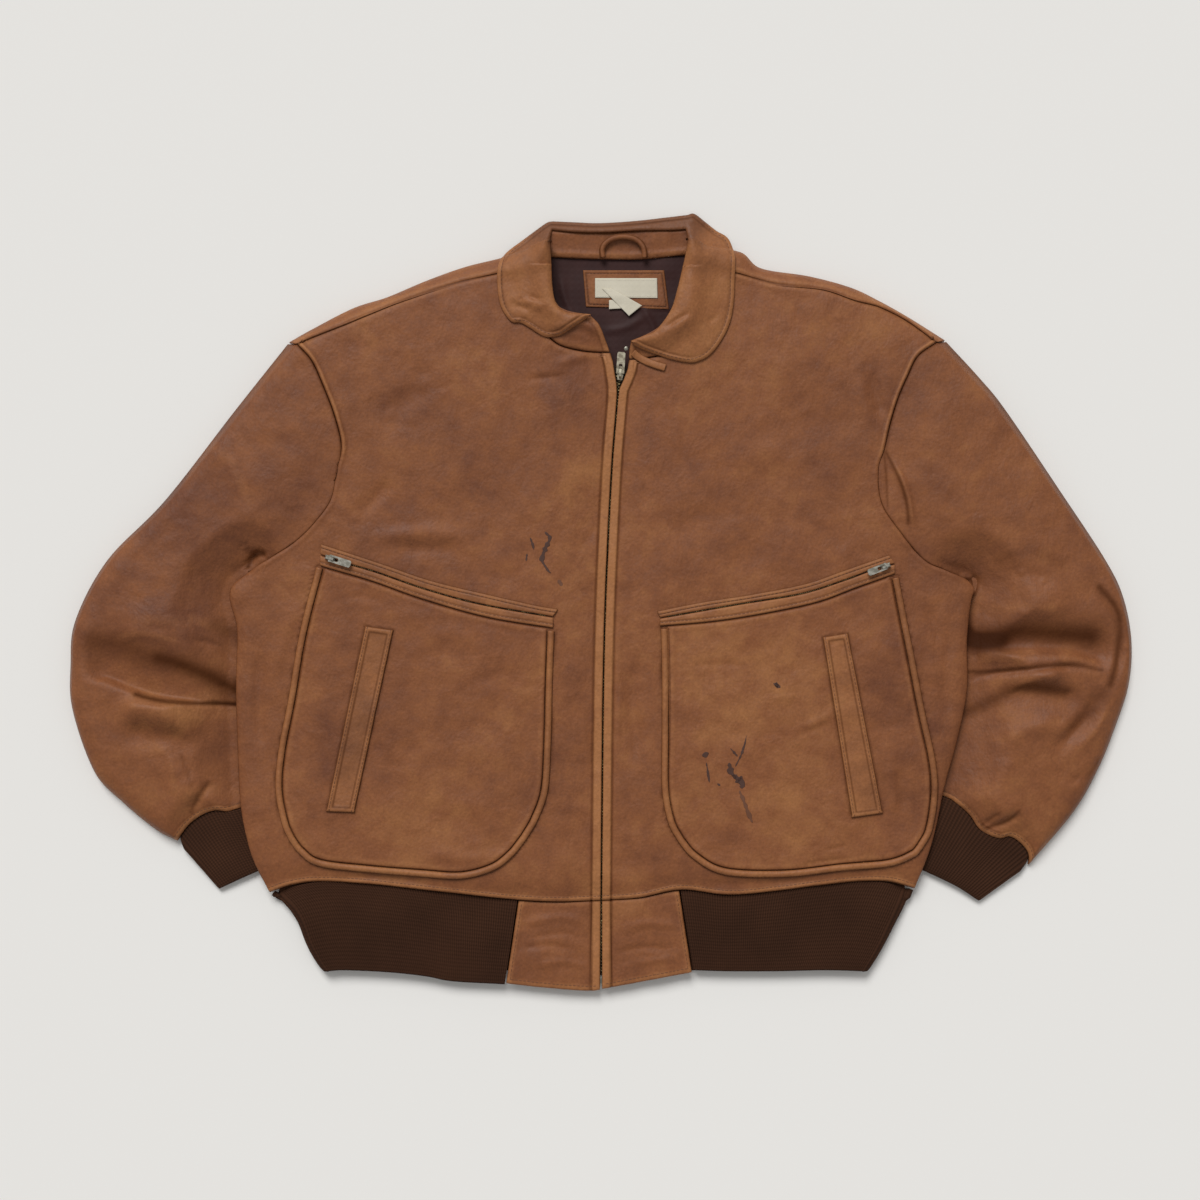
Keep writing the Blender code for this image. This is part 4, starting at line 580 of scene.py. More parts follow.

# Large soft areas of the leather's tone, and one painted highlight: middle and radius in photo pixels, and
# how tan (+) or red-brown (-)
TONE_AND_HIGHLIGHT_BELLS = [(430, 305, 55, 0.2), (480, 312, 32, -0.5), (520, 300, 40, 0.2), (365, 335, 35, 0.2),
    # (182, 713): painted highlight on the lit ridge of the right sleeve
    (455, 365, 45, 0.35), (182, 713, 20, 0.9), (560, 385, 45, -0.5), (410, 405, 40, -0.3),
    (350, 440, 30, 0.25), (470, 470, 60, -0.15), (590, 470, 26, 0.9), (520, 520, 45, 0.2),
    (420, 560, 50, -0.25), (572, 590, 34, 0.6), (360, 500, 30, 0.1), (300, 600, 40, 0.3),
    (400, 640, 45, -0.15), (500, 690, 55, 0.45), (340, 760, 35, -0.35), (450, 800, 55, 0.5),
    (540, 860, 40, 0.4), (300, 850, 35, 0.4), (250, 700, 30, -0.45), (380, 870, 40, 0.3), (585, 800, 26, 0.4),
    (700, 300, 30, 0.4), (790, 320, 45, 0.5), (860, 330, 36, 0.35), (870, 395, 36, -0.2), (700, 390, 45, 0.2),
    (790, 420, 45, 0.15), (660, 470, 36, -0.1), (930, 560, 36, -0.2),
    (640, 600, 26, 0.35), (630, 790, 26, -0.3), (700, 650, 40, 0.45), (780, 660, 45, 0.75),
    (730, 730, 45, 0.6), (800, 760, 40, 0.3), (790, 830, 45, 0.7), (900, 650, 36, -0.4), (930, 720, 30, -0.5),
    (870, 850, 40, 0.2), (690, 850, 30, 0.2), (930, 800, 26, -0.2), (270, 400, 50, -0.35),
    (190, 500, 60, -0.6), (300, 480, 30, -0.5), (120, 600, 50, -0.35), (190, 620, 36, -0.6),
    (110, 700, 40, 0.1), (190, 700, 36, 0.15), (150, 780, 40, 0.25), (200, 800, 30, 0.4),
    (225, 740, 24, -0.3), (950, 400, 40, 0.15), (1000, 470, 60, 0.3), (1060, 570, 50, 0.1),
    (1090, 660, 40, 0.1), (1000, 640, 36, -0.3), (1070, 760, 40, 0.2),
    (1030, 830, 34, 0.35), (970, 790, 26, 0.2), (930, 470, 30, -0.2)]

# Dark marks on the fronts: path in photo pixels, half width in millimetres, strength
STAINS = [([545, 532, 550, 538, 546, 548, 542, 558, 545, 566, 551, 573], 1.9, 1),
    ([530, 538, 533, 545, 534, 550], 1.2, 0.7), ([527, 554, 526, 561], 1.2, 0.6),
    ([558, 580, 562, 586], 1.4, 0.35), ([605, 730, 607, 740], 1.4, 0.5), ([704, 752, 706, 757], 2.2, 1),
    ([706, 762, 708, 775, 709, 782], 1, 0.8), ([717, 783, 720, 785], 1.2, 0.7),
    ([729, 762, 731, 772, 736, 778], 2.2, 0.9), ([732, 774, 741, 782, 742, 788], 2.6, 0.9),
    ([735, 782, 742, 776], 1.4, 0.8), ([730, 748, 737, 756], 1, 0.7),
    ([735, 766, 740, 756, 744, 745, 746, 735], 0.9, 0.6), ([739, 790, 745, 805, 752, 822], 1.8, 0.3),
    ([773, 683, 780, 687], 1.4, 0.7), ([776, 682, 777, 688], 1.2, 0.6)]


def refine(steps, count):
    """Evenly spaced shares of a list's index, so that its own values stay on the curve."""
    steps = np.asarray(steps, float)
    return np.interp(np.linspace(0, len(steps) - 1, count), np.arange(len(steps)), steps)


def undulation(p, cell, seed):
    """Smooth random height from -1 to 1: eased blends between seeded values on a square lattice."""
    values = np.random.default_rng(seed).uniform(-1, 1, (64, 64))
    q = (p + 1.0) / cell
    base = np.floor(q).astype(int)
    t = q - base
    t = t * t * (3 - 2 * t)
    i, j = base[..., 0] % 63, base[..., 1] % 63
    low = values[i, j] * (1 - t[..., 0]) + values[i + 1, j] * t[..., 0]
    high = values[i, j + 1] * (1 - t[..., 0]) + values[i + 1, j + 1] * t[..., 0]
    return low * (1 - t[..., 1]) + high * t[..., 1]


def ease_ends(p, path):
    """1 along the middle of a path and 0 beyond its ends, so that a crease runs out softly."""
    line = curve(path, steps=5)
    reach = 0.35 * lengths(line)[-1]
    ends = np.minimum(np.linalg.norm(p - line[0], axis=-1), np.linalg.norm(p - line[-1], axis=-1))
    return line, ease(0.15 + ends / reach)


def creases(p, items):
    """Sum of ridges and troughs, each a bell across its path that fades toward the path's ends."""
    total = np.zeros(p.shape[:-1])
    for path, width, height in items:
        line, fade = ease_ends(p, path)
        total += MM * height * fade * np.exp(-(distance(p, line) / (MM * width))**2)
    return total


def upper_arm(p):
    """1 along the upper armhole, where its seam stands up, and 0 toward the underarm."""
    return ease((p[..., 1] - plan((0, 478))[1]) / 0.045)


def ripple(p):
    """The leather's own soft unevenness: three sizes of undulation."""
    sizes = (0.0009, 0.045, 3), (0.00045, 0.017, 5), (0.00016, 0.007, 7)
    return sum(height * undulation(p, cell, seed) for height, cell, seed in sizes)


def front_top(p):
    """Outer face of the fronts with their creases; even under the sliders."""
    places = [plan(place, TOP_LEVEL) for place in SLIDER_PLACE.values()]
    calm = np.minimum.reduce([ease(np.linalg.norm(p - place, axis=-1) / 0.022) for place in places])
    return body_top(p) + (1.4 * creases(p, FRONT_CREASES) + ripple(p)) * calm


def sleeve_face(p, side):
    """Outer face of a sleeve with its fine creases, faded out at the armhole."""
    free = ease(distance(p, ARMHOLES[side]) / 0.03)
    fine = creases(p, SLEEVE_CREASES[side]) * (0.35 + 0.65 * free) + creases(p, PINCHES[side])
    return sleeve_top(p, side) + fine + ripple(p)


def tone_and_highlight_at(p):
    """How tan or red-brown the leather is: a sum of wide bells at listed places, with some unevenness; the
    bell on the right sleeve's ridge is a painted highlight.
    """
    total = 0.16 * undulation(p, 0.06, 11) + 0.12 * undulation(p, 0.025, 13)
    for x, y, radius, value in TONE_AND_HIGHLIGHT_BELLS:
        middle = plan((x, y), TOP_LEVEL)
        total += value * np.exp(-np.sum((p - middle)**2, axis=-1) / (radius * PX)**2)
    return total


def painted_fold_shade(p, side):
    """Painted shade in the deep folds of a sleeve: bells across their paths, fading toward the ends."""
    return sum(strength * np.exp(-(distance(p, curve(path, steps=5)) / (MM * width))**2)
               for path, width, strength in FOLD_SHADE_STROKES[side])


def band(d, middle, half):
    """Bell around a distance from a line."""
    return np.exp(-((d - middle) / half)**2)


# Meshes

def normals_of(grid, wrap=False):
    """Unit normals of a point grid, from its central differences."""
    along_rows = np.gradient(grid, axis=0)
    if wrap:
        across = (np.roll(grid, -1, axis=1) - np.roll(grid, 1, axis=1)) / 2
    else:
        across = np.gradient(grid, axis=1)
    normal = np.cross(along_rows, across)
    return normal / np.maximum(np.linalg.norm(normal, axis=-1, keepdims=True), 1e-12)


FLIP = [0, 3, 2, 1]


def quads(rows, columns, start=0, wrap=False):
    """Corner numbers of the cells of a point grid."""
    i = np.arange(rows - 1)[:, None]
    j = np.arange(columns if wrap else columns - 1)[None]
    k = (j + 1) % columns
    cells = np.stack(np.broadcast_arrays(i * columns + j, (i + 1) * columns + j, (i + 1) * columns + k,
                                         i * columns + k), axis=-1)
    return cells.reshape(-1, 4) + start


def faced_out(points, faces):
    """Faces of a closed piece, turned over where the volume that they enclose is negative."""
    p = (points - points.mean(axis=0))[faces]
    first, second = (np.einsum("ij,ij->i", p[:, 0], np.cross(p[:, k], p[:, k + 1])).sum() for k in (1, 2))
    return faces if first + second > 0 else faces[:, FLIP]


def make(name, points, faces, kind, marks=None, uv=None):
    """One smooth-shaded piece on the jacket's body, with its finish and optional per-point marks and UV."""
    mesh = bpy.data.meshes.new(name)
    faces = faced_out(points, faces)
    points = points + (*SHIFT, 0)
    mesh.vertices.add(len(points))
    mesh.vertices.foreach_set("co", points.astype(np.float32).ravel())
    mesh.loops.add(faces.size)
    mesh.loops.foreach_set("vertex_index", faces.astype(np.int32).ravel())
    mesh.polygons.add(len(faces))
    mesh.polygons.foreach_set("loop_start", np.arange(0, faces.size, faces.shape[1], dtype=np.int32))
    mesh.polygons.foreach_set("use_smooth", np.ones(len(faces), bool))
    mesh.update(calc_edges=True)
    for key, values in (marks or {}).items():
        values = values.astype(np.float32).ravel()
        mesh.attributes.new(key, "FLOAT", "POINT").data.foreach_set("value", values)
    if uv is not None:
        mesh.uv_layers.new(name="UVMap").data.foreach_set("uv", uv[faces.ravel()].astype(np.float32).ravel())
    mesh.validate()
    mesh.materials.append(finish(kind))
    made = bpy.data.objects.new(name, mesh)
    bpy.context.scene.collection.objects.link(made)
    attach(made, "jacket")
    return made


def tube(name, ring, kind, marks=None):
    """Skin through closed rings of points, the grid's rows."""
    return make(name, ring.reshape(-1, 3), quads(*ring.shape[:2], wrap=True), kind, marks)


def outward(grid, wrap=False):
    """Normals of a grid turned to its outer side: away from its middle, or up where it ends."""
    normal = normals_of(grid, wrap)
    if wrap:
        middle = grid.mean(axis=1, keepdims=True)
        return normal * np.sign(np.sum((grid - middle) * normal))
    rows, columns = grid.shape[:2]
    return normal * np.sign(normal[-rows // 4:, -columns // 4:, 2].mean())


def wall(name, outer, thickness, kind, marks=None, wrap=False, uv=None, inner=None):
    """Closed wall: the outer point grid, the same grid moved in along its normals, and their border."""
    rows, columns = outer.shape[:2]
    if inner is None:
        inner = outer - outward(outer, wrap) * thickness
        inner[..., 2] = np.maximum(inner[..., 2], np.minimum(FLOOR_GAP, outer[..., 2]))
    count = rows * columns
    points = np.vstack([outer.reshape(-1, 3), inner.reshape(-1, 3)])
    number = np.arange(count).reshape(rows, columns)
    faces = [quads(rows, columns, 0, wrap), quads(rows, columns, count, wrap)[:, FLIP]]
    if wrap:
        borders = [np.append(number[0], number[0, 0]), np.append(number[-1], number[-1, 0])[::-1]]
    else:
        borders = [np.concatenate([number[0], number[1:, -1], number[-1, -2::-1], number[-2::-1, 0]])]
    for border in borders:
        faces.append(np.stack([border[:-1], border[1:], border[1:] + count, border[:-1] + count], axis=1))
    doubled = {key: np.concatenate([values.ravel()] * 2) for key, values in (marks or {}).items()}
    doubled_uv = None if uv is None else np.vstack([uv.reshape(-1, 2)] * 2)
    return make(name, points, np.vstack(faces), kind, doubled, doubled_uv)


def stand_for(piece, nodes):
    """The piece takes the place of its CAD nodes, which are hidden."""
    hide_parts(*nodes)


def panel(name, outer, thickness, kind, marks, nodes):
    """A wall in place of its CAD nodes; marks are its wear, dark seams with any painted shade, and tone where
    it is leather.
    """
    marks = marks and marks_for(outer[..., :2], *marks)
    stand_for(wall(name, outer, thickness, kind, marks), nodes)


def on(grid, level):
    """Plan grid and heights as one point grid."""
    return np.dstack([grid, level])


MOST_WEAR = 1.3
WEAR_TONE = 0.45


def marks_for(p, wear, seam=0.0, tone=0.0):
    """Per-point marks that the leather reads: tone with one painted highlight, wear, and dark seam that also
    carries painted shade.
    """
    zeros = np.zeros(p.shape[:-1])
    worn = np.clip(zeros + wear, 0, MOST_WEAR)
    seam = np.clip(zeros + seam, 0, 1)
    return {"tone": tone_and_highlight_at(p) + WEAR_TONE * worn + tone, "wear": worn, "seam": seam}


def strip_grid(line, width, across):
    """Plan grid of a strip of even width along a line."""
    return line[:, None] + left_of(line)[:, None] * (width * (across - 0.5))[None, :, None]


# Materials

def linear(code):
    """sRGB hex code to a linear colour with alpha 1."""
    value = np.array([int(code[i:i + 2], 16) for i in (1, 3, 5)]) / 255
    value = np.where(value <= 0.04045, value / 12.92, ((value + 0.055) / 1.055)**2.4)
    return (*value.tolist(), 1.0)


def connect(tree, made, inputs):
    """Gives each input of a node its value, or a link where the value is an output socket."""
    for key, value in inputs.items():
        if isinstance(value, bpy.types.NodeSocket):
            tree.links.new(value, made.inputs[key])
        else:
            made.inputs[key].default_value = value


def node(tree, kind, inputs=None, output=0, **settings):
    """Adds a shader node with its settings and inputs, and returns one of its output sockets."""
    made = tree.nodes.new("ShaderNode" + kind)
    for key, value in settings.items():
        setattr(made, key, value)
    connect(tree, made, inputs or {})
    return made.outputs[output]


def new_material(name):
    """Empty material with a Principled BSDF; returns the material, its tree and the shader."""
    made = bpy.data.materials.new(name)
    made.use_nodes = True
    return made, made.node_tree, made.node_tree.nodes["Principled BSDF"]


def mixed(tree, factor, low, high, blend="MIX"):
    """Colour mix of two colours or sockets by a factor."""
    return node(tree, "Mix", {0: factor, 6: low, 7: high}, 2, data_type="RGBA", blend_type=blend)


def leather(name, deep, mid, light, rough=0.58):
    """Aniline-dyed lambskin, drum dyed and worn: cloudy tone with one painted highlight, rubbed lighter at
    edges, dark seams and painted shade.
    """
    made, tree, shader = new_material(name)
    look = bpy.context.scene.jacket_look
    place = node(tree, "TexCoord", output="Object")
    tone, wear, seam = (node(tree, "Attribute", attribute_name=mark, output="Fac")
                        for mark in ("tone", "wear", "seam"))
    cloud = node(tree, "TexNoise", {"Vector": place, "Scale": 14, "Detail": 5, "Roughness": 0.6})
    patch = node(tree, "TexNoise", {"Vector": place, "Scale": 55, "Detail": 5, "Roughness": 0.65})
    speck = node(tree, "TexNoise", {"Vector": place, "Scale": 420, "Detail": 3, "Roughness": 0.6})
    sum_a = node(tree, "Math", {0: tone, 1: 0.44, 2: 0.09}, operation="MULTIPLY_ADD")
    sum_b = node(tree, "Math", {0: cloud, 1: 0.9, 2: sum_a}, operation="MULTIPLY_ADD")
    sum_c = node(tree, "Math", {0: patch, 1: 0.9, 2: sum_b}, operation="MULTIPLY_ADD")
    share = node(tree, "MapRange", {0: sum_c, 1: 0.6, 2: 1.56})
    lower = node(tree, "MapRange", {0: share, 1: 0.0, 2: 0.5})
    upper = node(tree, "MapRange", {0: share, 1: 0.5, 2: 1.0})
    base = mixed(tree, lower, deep[:], mid[:])
    base = mixed(tree, upper, base, light[:])
    rubbed = node(tree, "Math", {0: wear, 1: patch}, operation="MULTIPLY")
    rubbed = node(tree, "MapRange", {0: rubbed, 1: 0.1, 2: 0.62, 4: 0.8})
    base = mixed(tree, rubbed, base, look.rubbed[:])
    grit = node(tree, "MapRange", {0: speck, 1: 0.35, 2: 0.7, 3: 0.88, 4: 1.08})
    grit = node(tree, "CombineColor", {0: grit, 1: grit, 2: grit})
    base = mixed(tree, 1.0, base, grit, "MULTIPLY")
    # Seam mark: dark seam lines, plus painted shade in the sleeve folds and at the back stand's ends
    base = mixed(tree, seam, base, look.seam_and_painted_shade[:])

    # Grain cells of lambskin are near 1 mm; drawn at 2.6 mm, the finest that shows at this size
    grain = node(tree, "TexVoronoi", {"Vector": place, "Scale": 1000 / look.grain_mm, "Randomness": 1.0},
                 feature="SMOOTH_F1", output="Distance")
    wrinkle_place = node(tree, "Mapping", {"Vector": place, "Scale": (1.0, 0.45, 1.0)})
    wrinkle = node(tree, "TexNoise", {"Vector": wrinkle_place, "Scale": 95, "Detail": 6, "Roughness": 0.62,
                                      "Distortion": 0.9})
    dent = node(tree, "TexNoise", {"Vector": place, "Scale": 34, "Detail": 4, "Distortion": 0.6})
    first = node(tree, "Bump", {"Height": dent, "Distance": 0.0022, "Strength": 0.7})
    second = node(tree, "Bump", {"Height": wrinkle, "Distance": 0.0012, "Strength": 0.75, "Normal": first})
    third = node(tree, "Bump", {"Height": grain, "Distance": 0.0003, "Strength": 0.6, "Normal": second})
    gloss = node(tree, "MapRange", {0: seam, 1: 0.0, 2: 0.8, 3: 0.32, 4: 0.04})
    shine = node(tree, "MapRange", {0: patch, 1: 0.3, 2: 0.7, 3: rough - 0.07, 4: rough + 0.09})
    connect(tree, shader, {"Base Color": base, "Normal": third, "Specular IOR Level": gloss,
                           "Roughness": shine})
    return made


def knit(name):
    """Wool-blend 1x1 rib, knitted: matt and fuzzy, dark between the ribs, stitches across each rib."""
    made, tree, shader = new_material(name)
    look = bpy.context.scene.jacket_look
    uv = node(tree, "UVMap", uv_map="UVMap")
    place = node(tree, "TexCoord", output="Object")
    groove = node(tree, "Attribute", attribute_name="groove", output="Fac")
    # Stitches are 1.6 mm apart; UV is in millimetres
    loops = node(tree, "TexWave", {"Vector": uv, "Scale": 0.1, "Distortion": 1.2, "Detail": 2,
                                   "Detail Scale": 1.5}, bands_direction="Y", output="Fac")
    fuzz = node(tree, "TexNoise", {"Vector": place, "Scale": 900, "Detail": 3})
    cloud = node(tree, "TexNoise", {"Vector": place, "Scale": 25, "Detail": 3})
    base = mixed(tree, cloud, look.knit_deep[:], look.knit_light[:])
    dark = node(tree, "Math", {0: groove, 1: 0.5}, operation="MULTIPLY")
    base = mixed(tree, dark, base, look.knit_groove[:])
    first = node(tree, "Bump", {"Height": loops, "Distance": 0.0004, "Strength": 0.5})
    second = node(tree, "Bump", {"Height": fuzz, "Distance": 0.0003, "Strength": 0.5, "Normal": first})
    connect(tree, shader, {"Base Color": base, "Roughness": 0.92, "Specular IOR Level": 0.15,
                           "Normal": second})
    return made


def woven(name, dark, light, thread_mm, rough):
    """Plain-woven cloth, such as viscose lining or label tape: crossed threads, soft sheen."""
    made, tree, shader = new_material(name)
    place = node(tree, "TexCoord", output="Object")
    scale = 1000 / thread_mm / 20
    warp, weft = (node(tree, "TexWave", {"Vector": place, "Scale": scale, "Distortion": 0.4},
                       bands_direction=way, output="Fac") for way in "XY")
    weave = node(tree, "Math", {0: warp, 1: weft}, operation="MULTIPLY")
    cloud = node(tree, "TexNoise", {"Vector": place, "Scale": 60, "Detail": 4})
    bump = node(tree, "Bump", {"Height": weave, "Distance": 0.00015, "Strength": 0.4})
    connect(tree, shader, {"Base Color": mixed(tree, cloud, linear(dark), linear(light)), "Normal": bump,
                           "Roughness": rough, "Specular IOR Level": 0.25})
    return made


def metal(name, dark, light, rough):
    """Plated die-cast zip metal, tarnished: brighter where rubbed, dull in patches."""
    made, tree, shader = new_material(name)
    place = node(tree, "TexCoord", output="Object")
    blot = node(tree, "TexNoise", {"Vector": place, "Scale": 260, "Detail": 2})
    share = node(tree, "MapRange", {0: blot, 1: 0.4, 2: 0.62})
    shine = node(tree, "MapRange", {0: blot, 1: 0.3, 2: 0.7, 3: rough + 0.12, 4: rough})
    connect(tree, shader, {"Base Color": mixed(tree, share, linear(dark), linear(light)), "Roughness": shine,
                           "Metallic": 1.0})
    return made


def thread(name, colour):
    """Bonded nylon sewing thread: fine, slightly glossy."""
    made, tree, shader = new_material(name)
    place = node(tree, "TexCoord", output="Object")
    twist = node(tree, "TexNoise", {"Vector": place, "Scale": 1500, "Detail": 2})
    dim = (*(value * 0.7 for value in colour[:3]), 1.0)
    connect(tree, shader, {"Base Color": mixed(tree, twist, dim, colour[:]), "Roughness": 0.6})
    return made


FINISH = {}


def finish(key):
    """Each finish is made once, when a piece first asks for it."""
    look = bpy.context.scene.jacket_look
    if key not in FINISH:
        build, *settings = {
            "brown": (leather, "aniline_lambskin_brown", look.leather_deep, look.leather_mid,
                      look.leather_light),
            "tan": (leather, "aniline_lambskin_tan", look.tan_deep, look.tan_mid, look.tan_light, 0.56),
            "knit": (knit, "wool_rib_knit"),
            "lining": (woven, "viscose_lining", "#2A1312", "#3D1F1B", 0.9, 0.6),
            "label": (woven, "woven_label_tape", "#C6BEAA", "#DAD3C0", 0.8, 0.85),
            "brass": (metal, "antique_brass", "#8C8270", "#CBC3AC", 0.36),
            "nickel": (metal, "plated_nickel", "#8E8B7F", "#C9C6BA", 0.36),
            "dark_metal": (metal, "oxidised_brass", "#2E2820", "#7A6C4C", 0.4),
            "tape": (woven, "polyester_zip_tape", "#1E1712", "#33271E", 0.8, 0.8),
            "stain": (thread, "dried_stain", look.stain),
            "faint_stain": (thread, "faint_dried_stain", look.faint_stain),
            "thread": (thread, "bonded_thread", look.thread),
            "cream": (thread, "cream_thread", linear("#E6DFCE")),
        }[key]
        FINISH[key] = build(*settings)
    return FINISH[key]


# Panels

FRONT_WIDTH = 0.32
# Width of the stitched strip along the zip, and where the groove beside it lies
PLACKET = 0.0076
GROOVE = PLACKET + 0.0006
# How far the stitches lie from a seam
SEAM_STITCH = 0.0052
# Share of the rows over which the sewn edge's direction turns at the underarm
UNDERARM_ROWS = 0.03
# How much sooner the rows come down along the zip than at the side, so that they cross the armhole
ZIP_ROWS_BEND = 0.98
ZIP_ROWS_POWER = 0.85


def body_rows(count):
    """Shares down the body, finer at both ends, with the neck corner and the underarm among them."""
    ends = np.array([0.0008, 0.002, 0.004])
    rows = np.r_[0, ends, np.linspace(0.0065, 0.9935, count), 1 - ends[::-1], 1]
    for corner in (NECK_PART, ARM_PART):
        rows[np.argmin(np.abs(rows - corner))] = corner
    return rows


def sewn_edge(side, rows, tip=0.0):
    """Armhole and side seam as one line; the tip moves its first rows along the armhole."""
    share = np.clip(rows / ARM_PART, 0, 1)
    arm = along(ARMHOLES[side], share + tip * (1 - share)**8)
    low = along(BODY_SIDES[side], np.clip((rows - ARM_PART) / (1 - ARM_PART), 0, 1))
    return np.where((rows <= ARM_PART)[:, None], arm, low)


def front_grid(side, columns, rows, insets):
    """Plan grid [column, row] of a front, from the zip to the side and from shoulder to hem."""
    upper = along(NECKLINES[side], np.clip(rows / NECK_PART, 0, 1))
    share = np.clip((rows - NECK_PART) / (1 - NECK_PART), 0, 1)**ZIP_ROWS_POWER
    lower = along(ZIP_EDGES[side], share + ZIP_ROWS_BEND * share * (1 - share))
    near = np.where((rows <= NECK_PART)[:, None], upper, lower)
    edge = sewn_edge(side, rows)
    near_rows = np.exp(-((rows[:, None] - rows) / UNDERARM_ROWS)**2)
    direction = near_rows @ (beside(edge, SIDES[side] * MM) - edge)
    direction /= np.linalg.norm(direction, axis=1)[:, None]
    borders = [edge + inset * direction for inset in insets]
    part = 1 - insets / FRONT_WIDTH
    for border, share in zip(borders, part):
        border[-1] = along(HEM_SEAMS[side], share)
        border[0] = along(SHOULDER_SEAMS[side], share)
    hem = along(HEM_SEAMS[side], columns * part[0])
    seam = along(SHOULDER_SEAMS[side], columns * part[0])
    hem[0], hem[-1], seam[0], seam[-1] = near[-1], borders[0][-1], near[0], borders[0][0]
    inner = coons(seam, hem, near, borders[0], columns, rows)
    return np.concatenate([inner, borders[1:]])


FRONT_SHARES = np.r_[np.linspace(0, 0.05, 20), np.linspace(0.05, 1, 108)[1:]]
FRONT_INSETS = np.array([0.009, 0.0075, 0.006, 0.0046, 0.0034, 0.0024, 0.0015, 0.0007, 0.0])


def strip_share(d):
    """1 on the stitched strip along the zip and 0 past it."""
    return 1 - ease((d - PLACKET + 0.0006) / 0.0012)


def front_details(p, side):
    """Height and marks of a front's sewn edges: the strip beside the zip, and rolled, rubbed seam edges."""
    lines = ZIP_EDGES, NECKLINES, ARMHOLES, HEM_SEAMS, SHOULDER_SEAMS
    d_zip, d_neck, d_arm, d_hem, d_shoulder = (distance(p, line[side]) for line in lines)
    strip = strip_share(d_zip)
    level = 0.0008 * strip - 0.0009 * band(d_zip, GROOVE, 0.001)
    level += 0.0007 * (rounded(d_zip, 0.0014) - 1)
    high = 0.25 + 0.75 * upper_arm(p)
    for d, share in ((d_neck, 1.0), (d_arm, high), (d_shoulder, 1.0)):
        level += share * (0.001 * (rounded(d, 0.0018) - 1) + 0.0004 * band(d, 0.0034, 0.0022))
    level += high * (0.0011 * band(d_arm, 0.0024, 0.0015) - 0.0004 * band(d_arm, SEAM_STITCH, 0.0012))
    level += 0.0008 * band(d_hem, 0.0028, 0.002) + 0.0012 * (rounded(d_hem, 0.0022) - 1)
    wear = MOST_WEAR * strip + 0.9 * band(d_hem, 0.0025, 0.003) + 0.9 * high * band(d_arm, 0.0024, 0.0016)
    wear += 0.4 * band(d_neck, 0.003, 0.004) + 0.4 * band(d_shoulder, 0.002, 0.003)
    seam = 0.55 * band(d_zip, GROOVE, 0.001) + 0.15 * band(d_zip, 0, 0.0006)
    seam += 0.3 * high * band(d_arm, SEAM_STITCH, 0.0009)
    for d, share in ((d_neck, 1.0), (d_arm, high), (d_shoulder, 1.0), (d_hem, 1.0)):
        seam += share * 0.5 * band(d, 0, 0.0008)
    seam += 0.25 * band(d_hem, SEAM_STITCH, 0.0009)
    seam += 0.55 * band(distance(p, pocket_line(side, 60)), PIPING_WIDTH / 2 + 0.0003, 0.0008)
    return level, wear, seam


class JACKET_OT_fronts(bpy.types.Operator):
    """Two fronts with the strip along the zip and the creases of the chest"""
    bl_idname = "jacket.fronts"
    bl_label = "Fronts"

    def execute(self, context):
        rows = body_rows(224)
        for side in SIDES:
            grid = front_grid(side, FRONT_SHARES, rows, FRONT_INSETS)
            level, wear, seam = front_details(grid, side)
            outer = on(grid, front_top(grid) + level)
            panel(f"leather_front_{side}", outer, LEATHER, "brown", (wear, seam), [f"front_{side}"])
            sew(f"stitches_hem_{side}", [inset_line(outer, SEAM_STITCH)])
        return {"FINISHED"}


def back_and_lining():
    """The back panel from the floor up to its lifted side edges, and the lining that the neck shows."""
    rows = body_rows(120)
    edges = [sewn_edge(side, rows, BACK_TIP) for side in SIDES]
    near, far = beside(edges[0], BACK_INSET), beside(edges[1], -BACK_INSET)
    right = beside(SHOULDERS["right"], YOKE_INSET + 0.0015)[::-1]
    left = beside(SHOULDERS["left"], -YOKE_INSET - 0.0015)
    head = np.vstack([near[:1], right[14:-2], curve(BACK_NECK, 0), left[2:-14], far[:1]])
    hem_line = np.vstack([HEM_SEAMS["right"][::-1], HEM_SEAMS["left"]])
    part = BACK_INSET / lengths(hem_line)[-1]
    columns = np.linspace(0, 1, 150)
    head_points, hem_points = along(head, columns), along(hem_line, part + columns * (1 - 2 * part))
    near[-1], far[-1] = hem_points[0], hem_points[-1]
    inner = coons(head_points, hem_points, near, far, columns, rows)
    grid = np.concatenate([edges[0][None], inner, edges[1][None]])
    top = on(grid, side_lift(grid) + LEATHER)
    wear = 0.15 * band(distance(grid, hem_line), 0, 0.01)
    panel("leather_back", top, LEATHER, "brown", (wear,), ["back"])
    shares = np.linspace(0, 1, 90)
    head = along(curve(BACK_NECK, 0) - (0, LINING_INSET), shares)
    foot = along(plan(LINING_FOOT), shares)
    grid = between(head, foot, shares)
    level = LINING_TOP + 0.0009 * ease((undulation(grid, 0.02, 21) + 0.6) / 1.6)
    full = on(grid, level + creases(grid, LINING_CREASES))
    panel("lining_back_cloth", full, LINING, "lining", None, ["lining_back"])


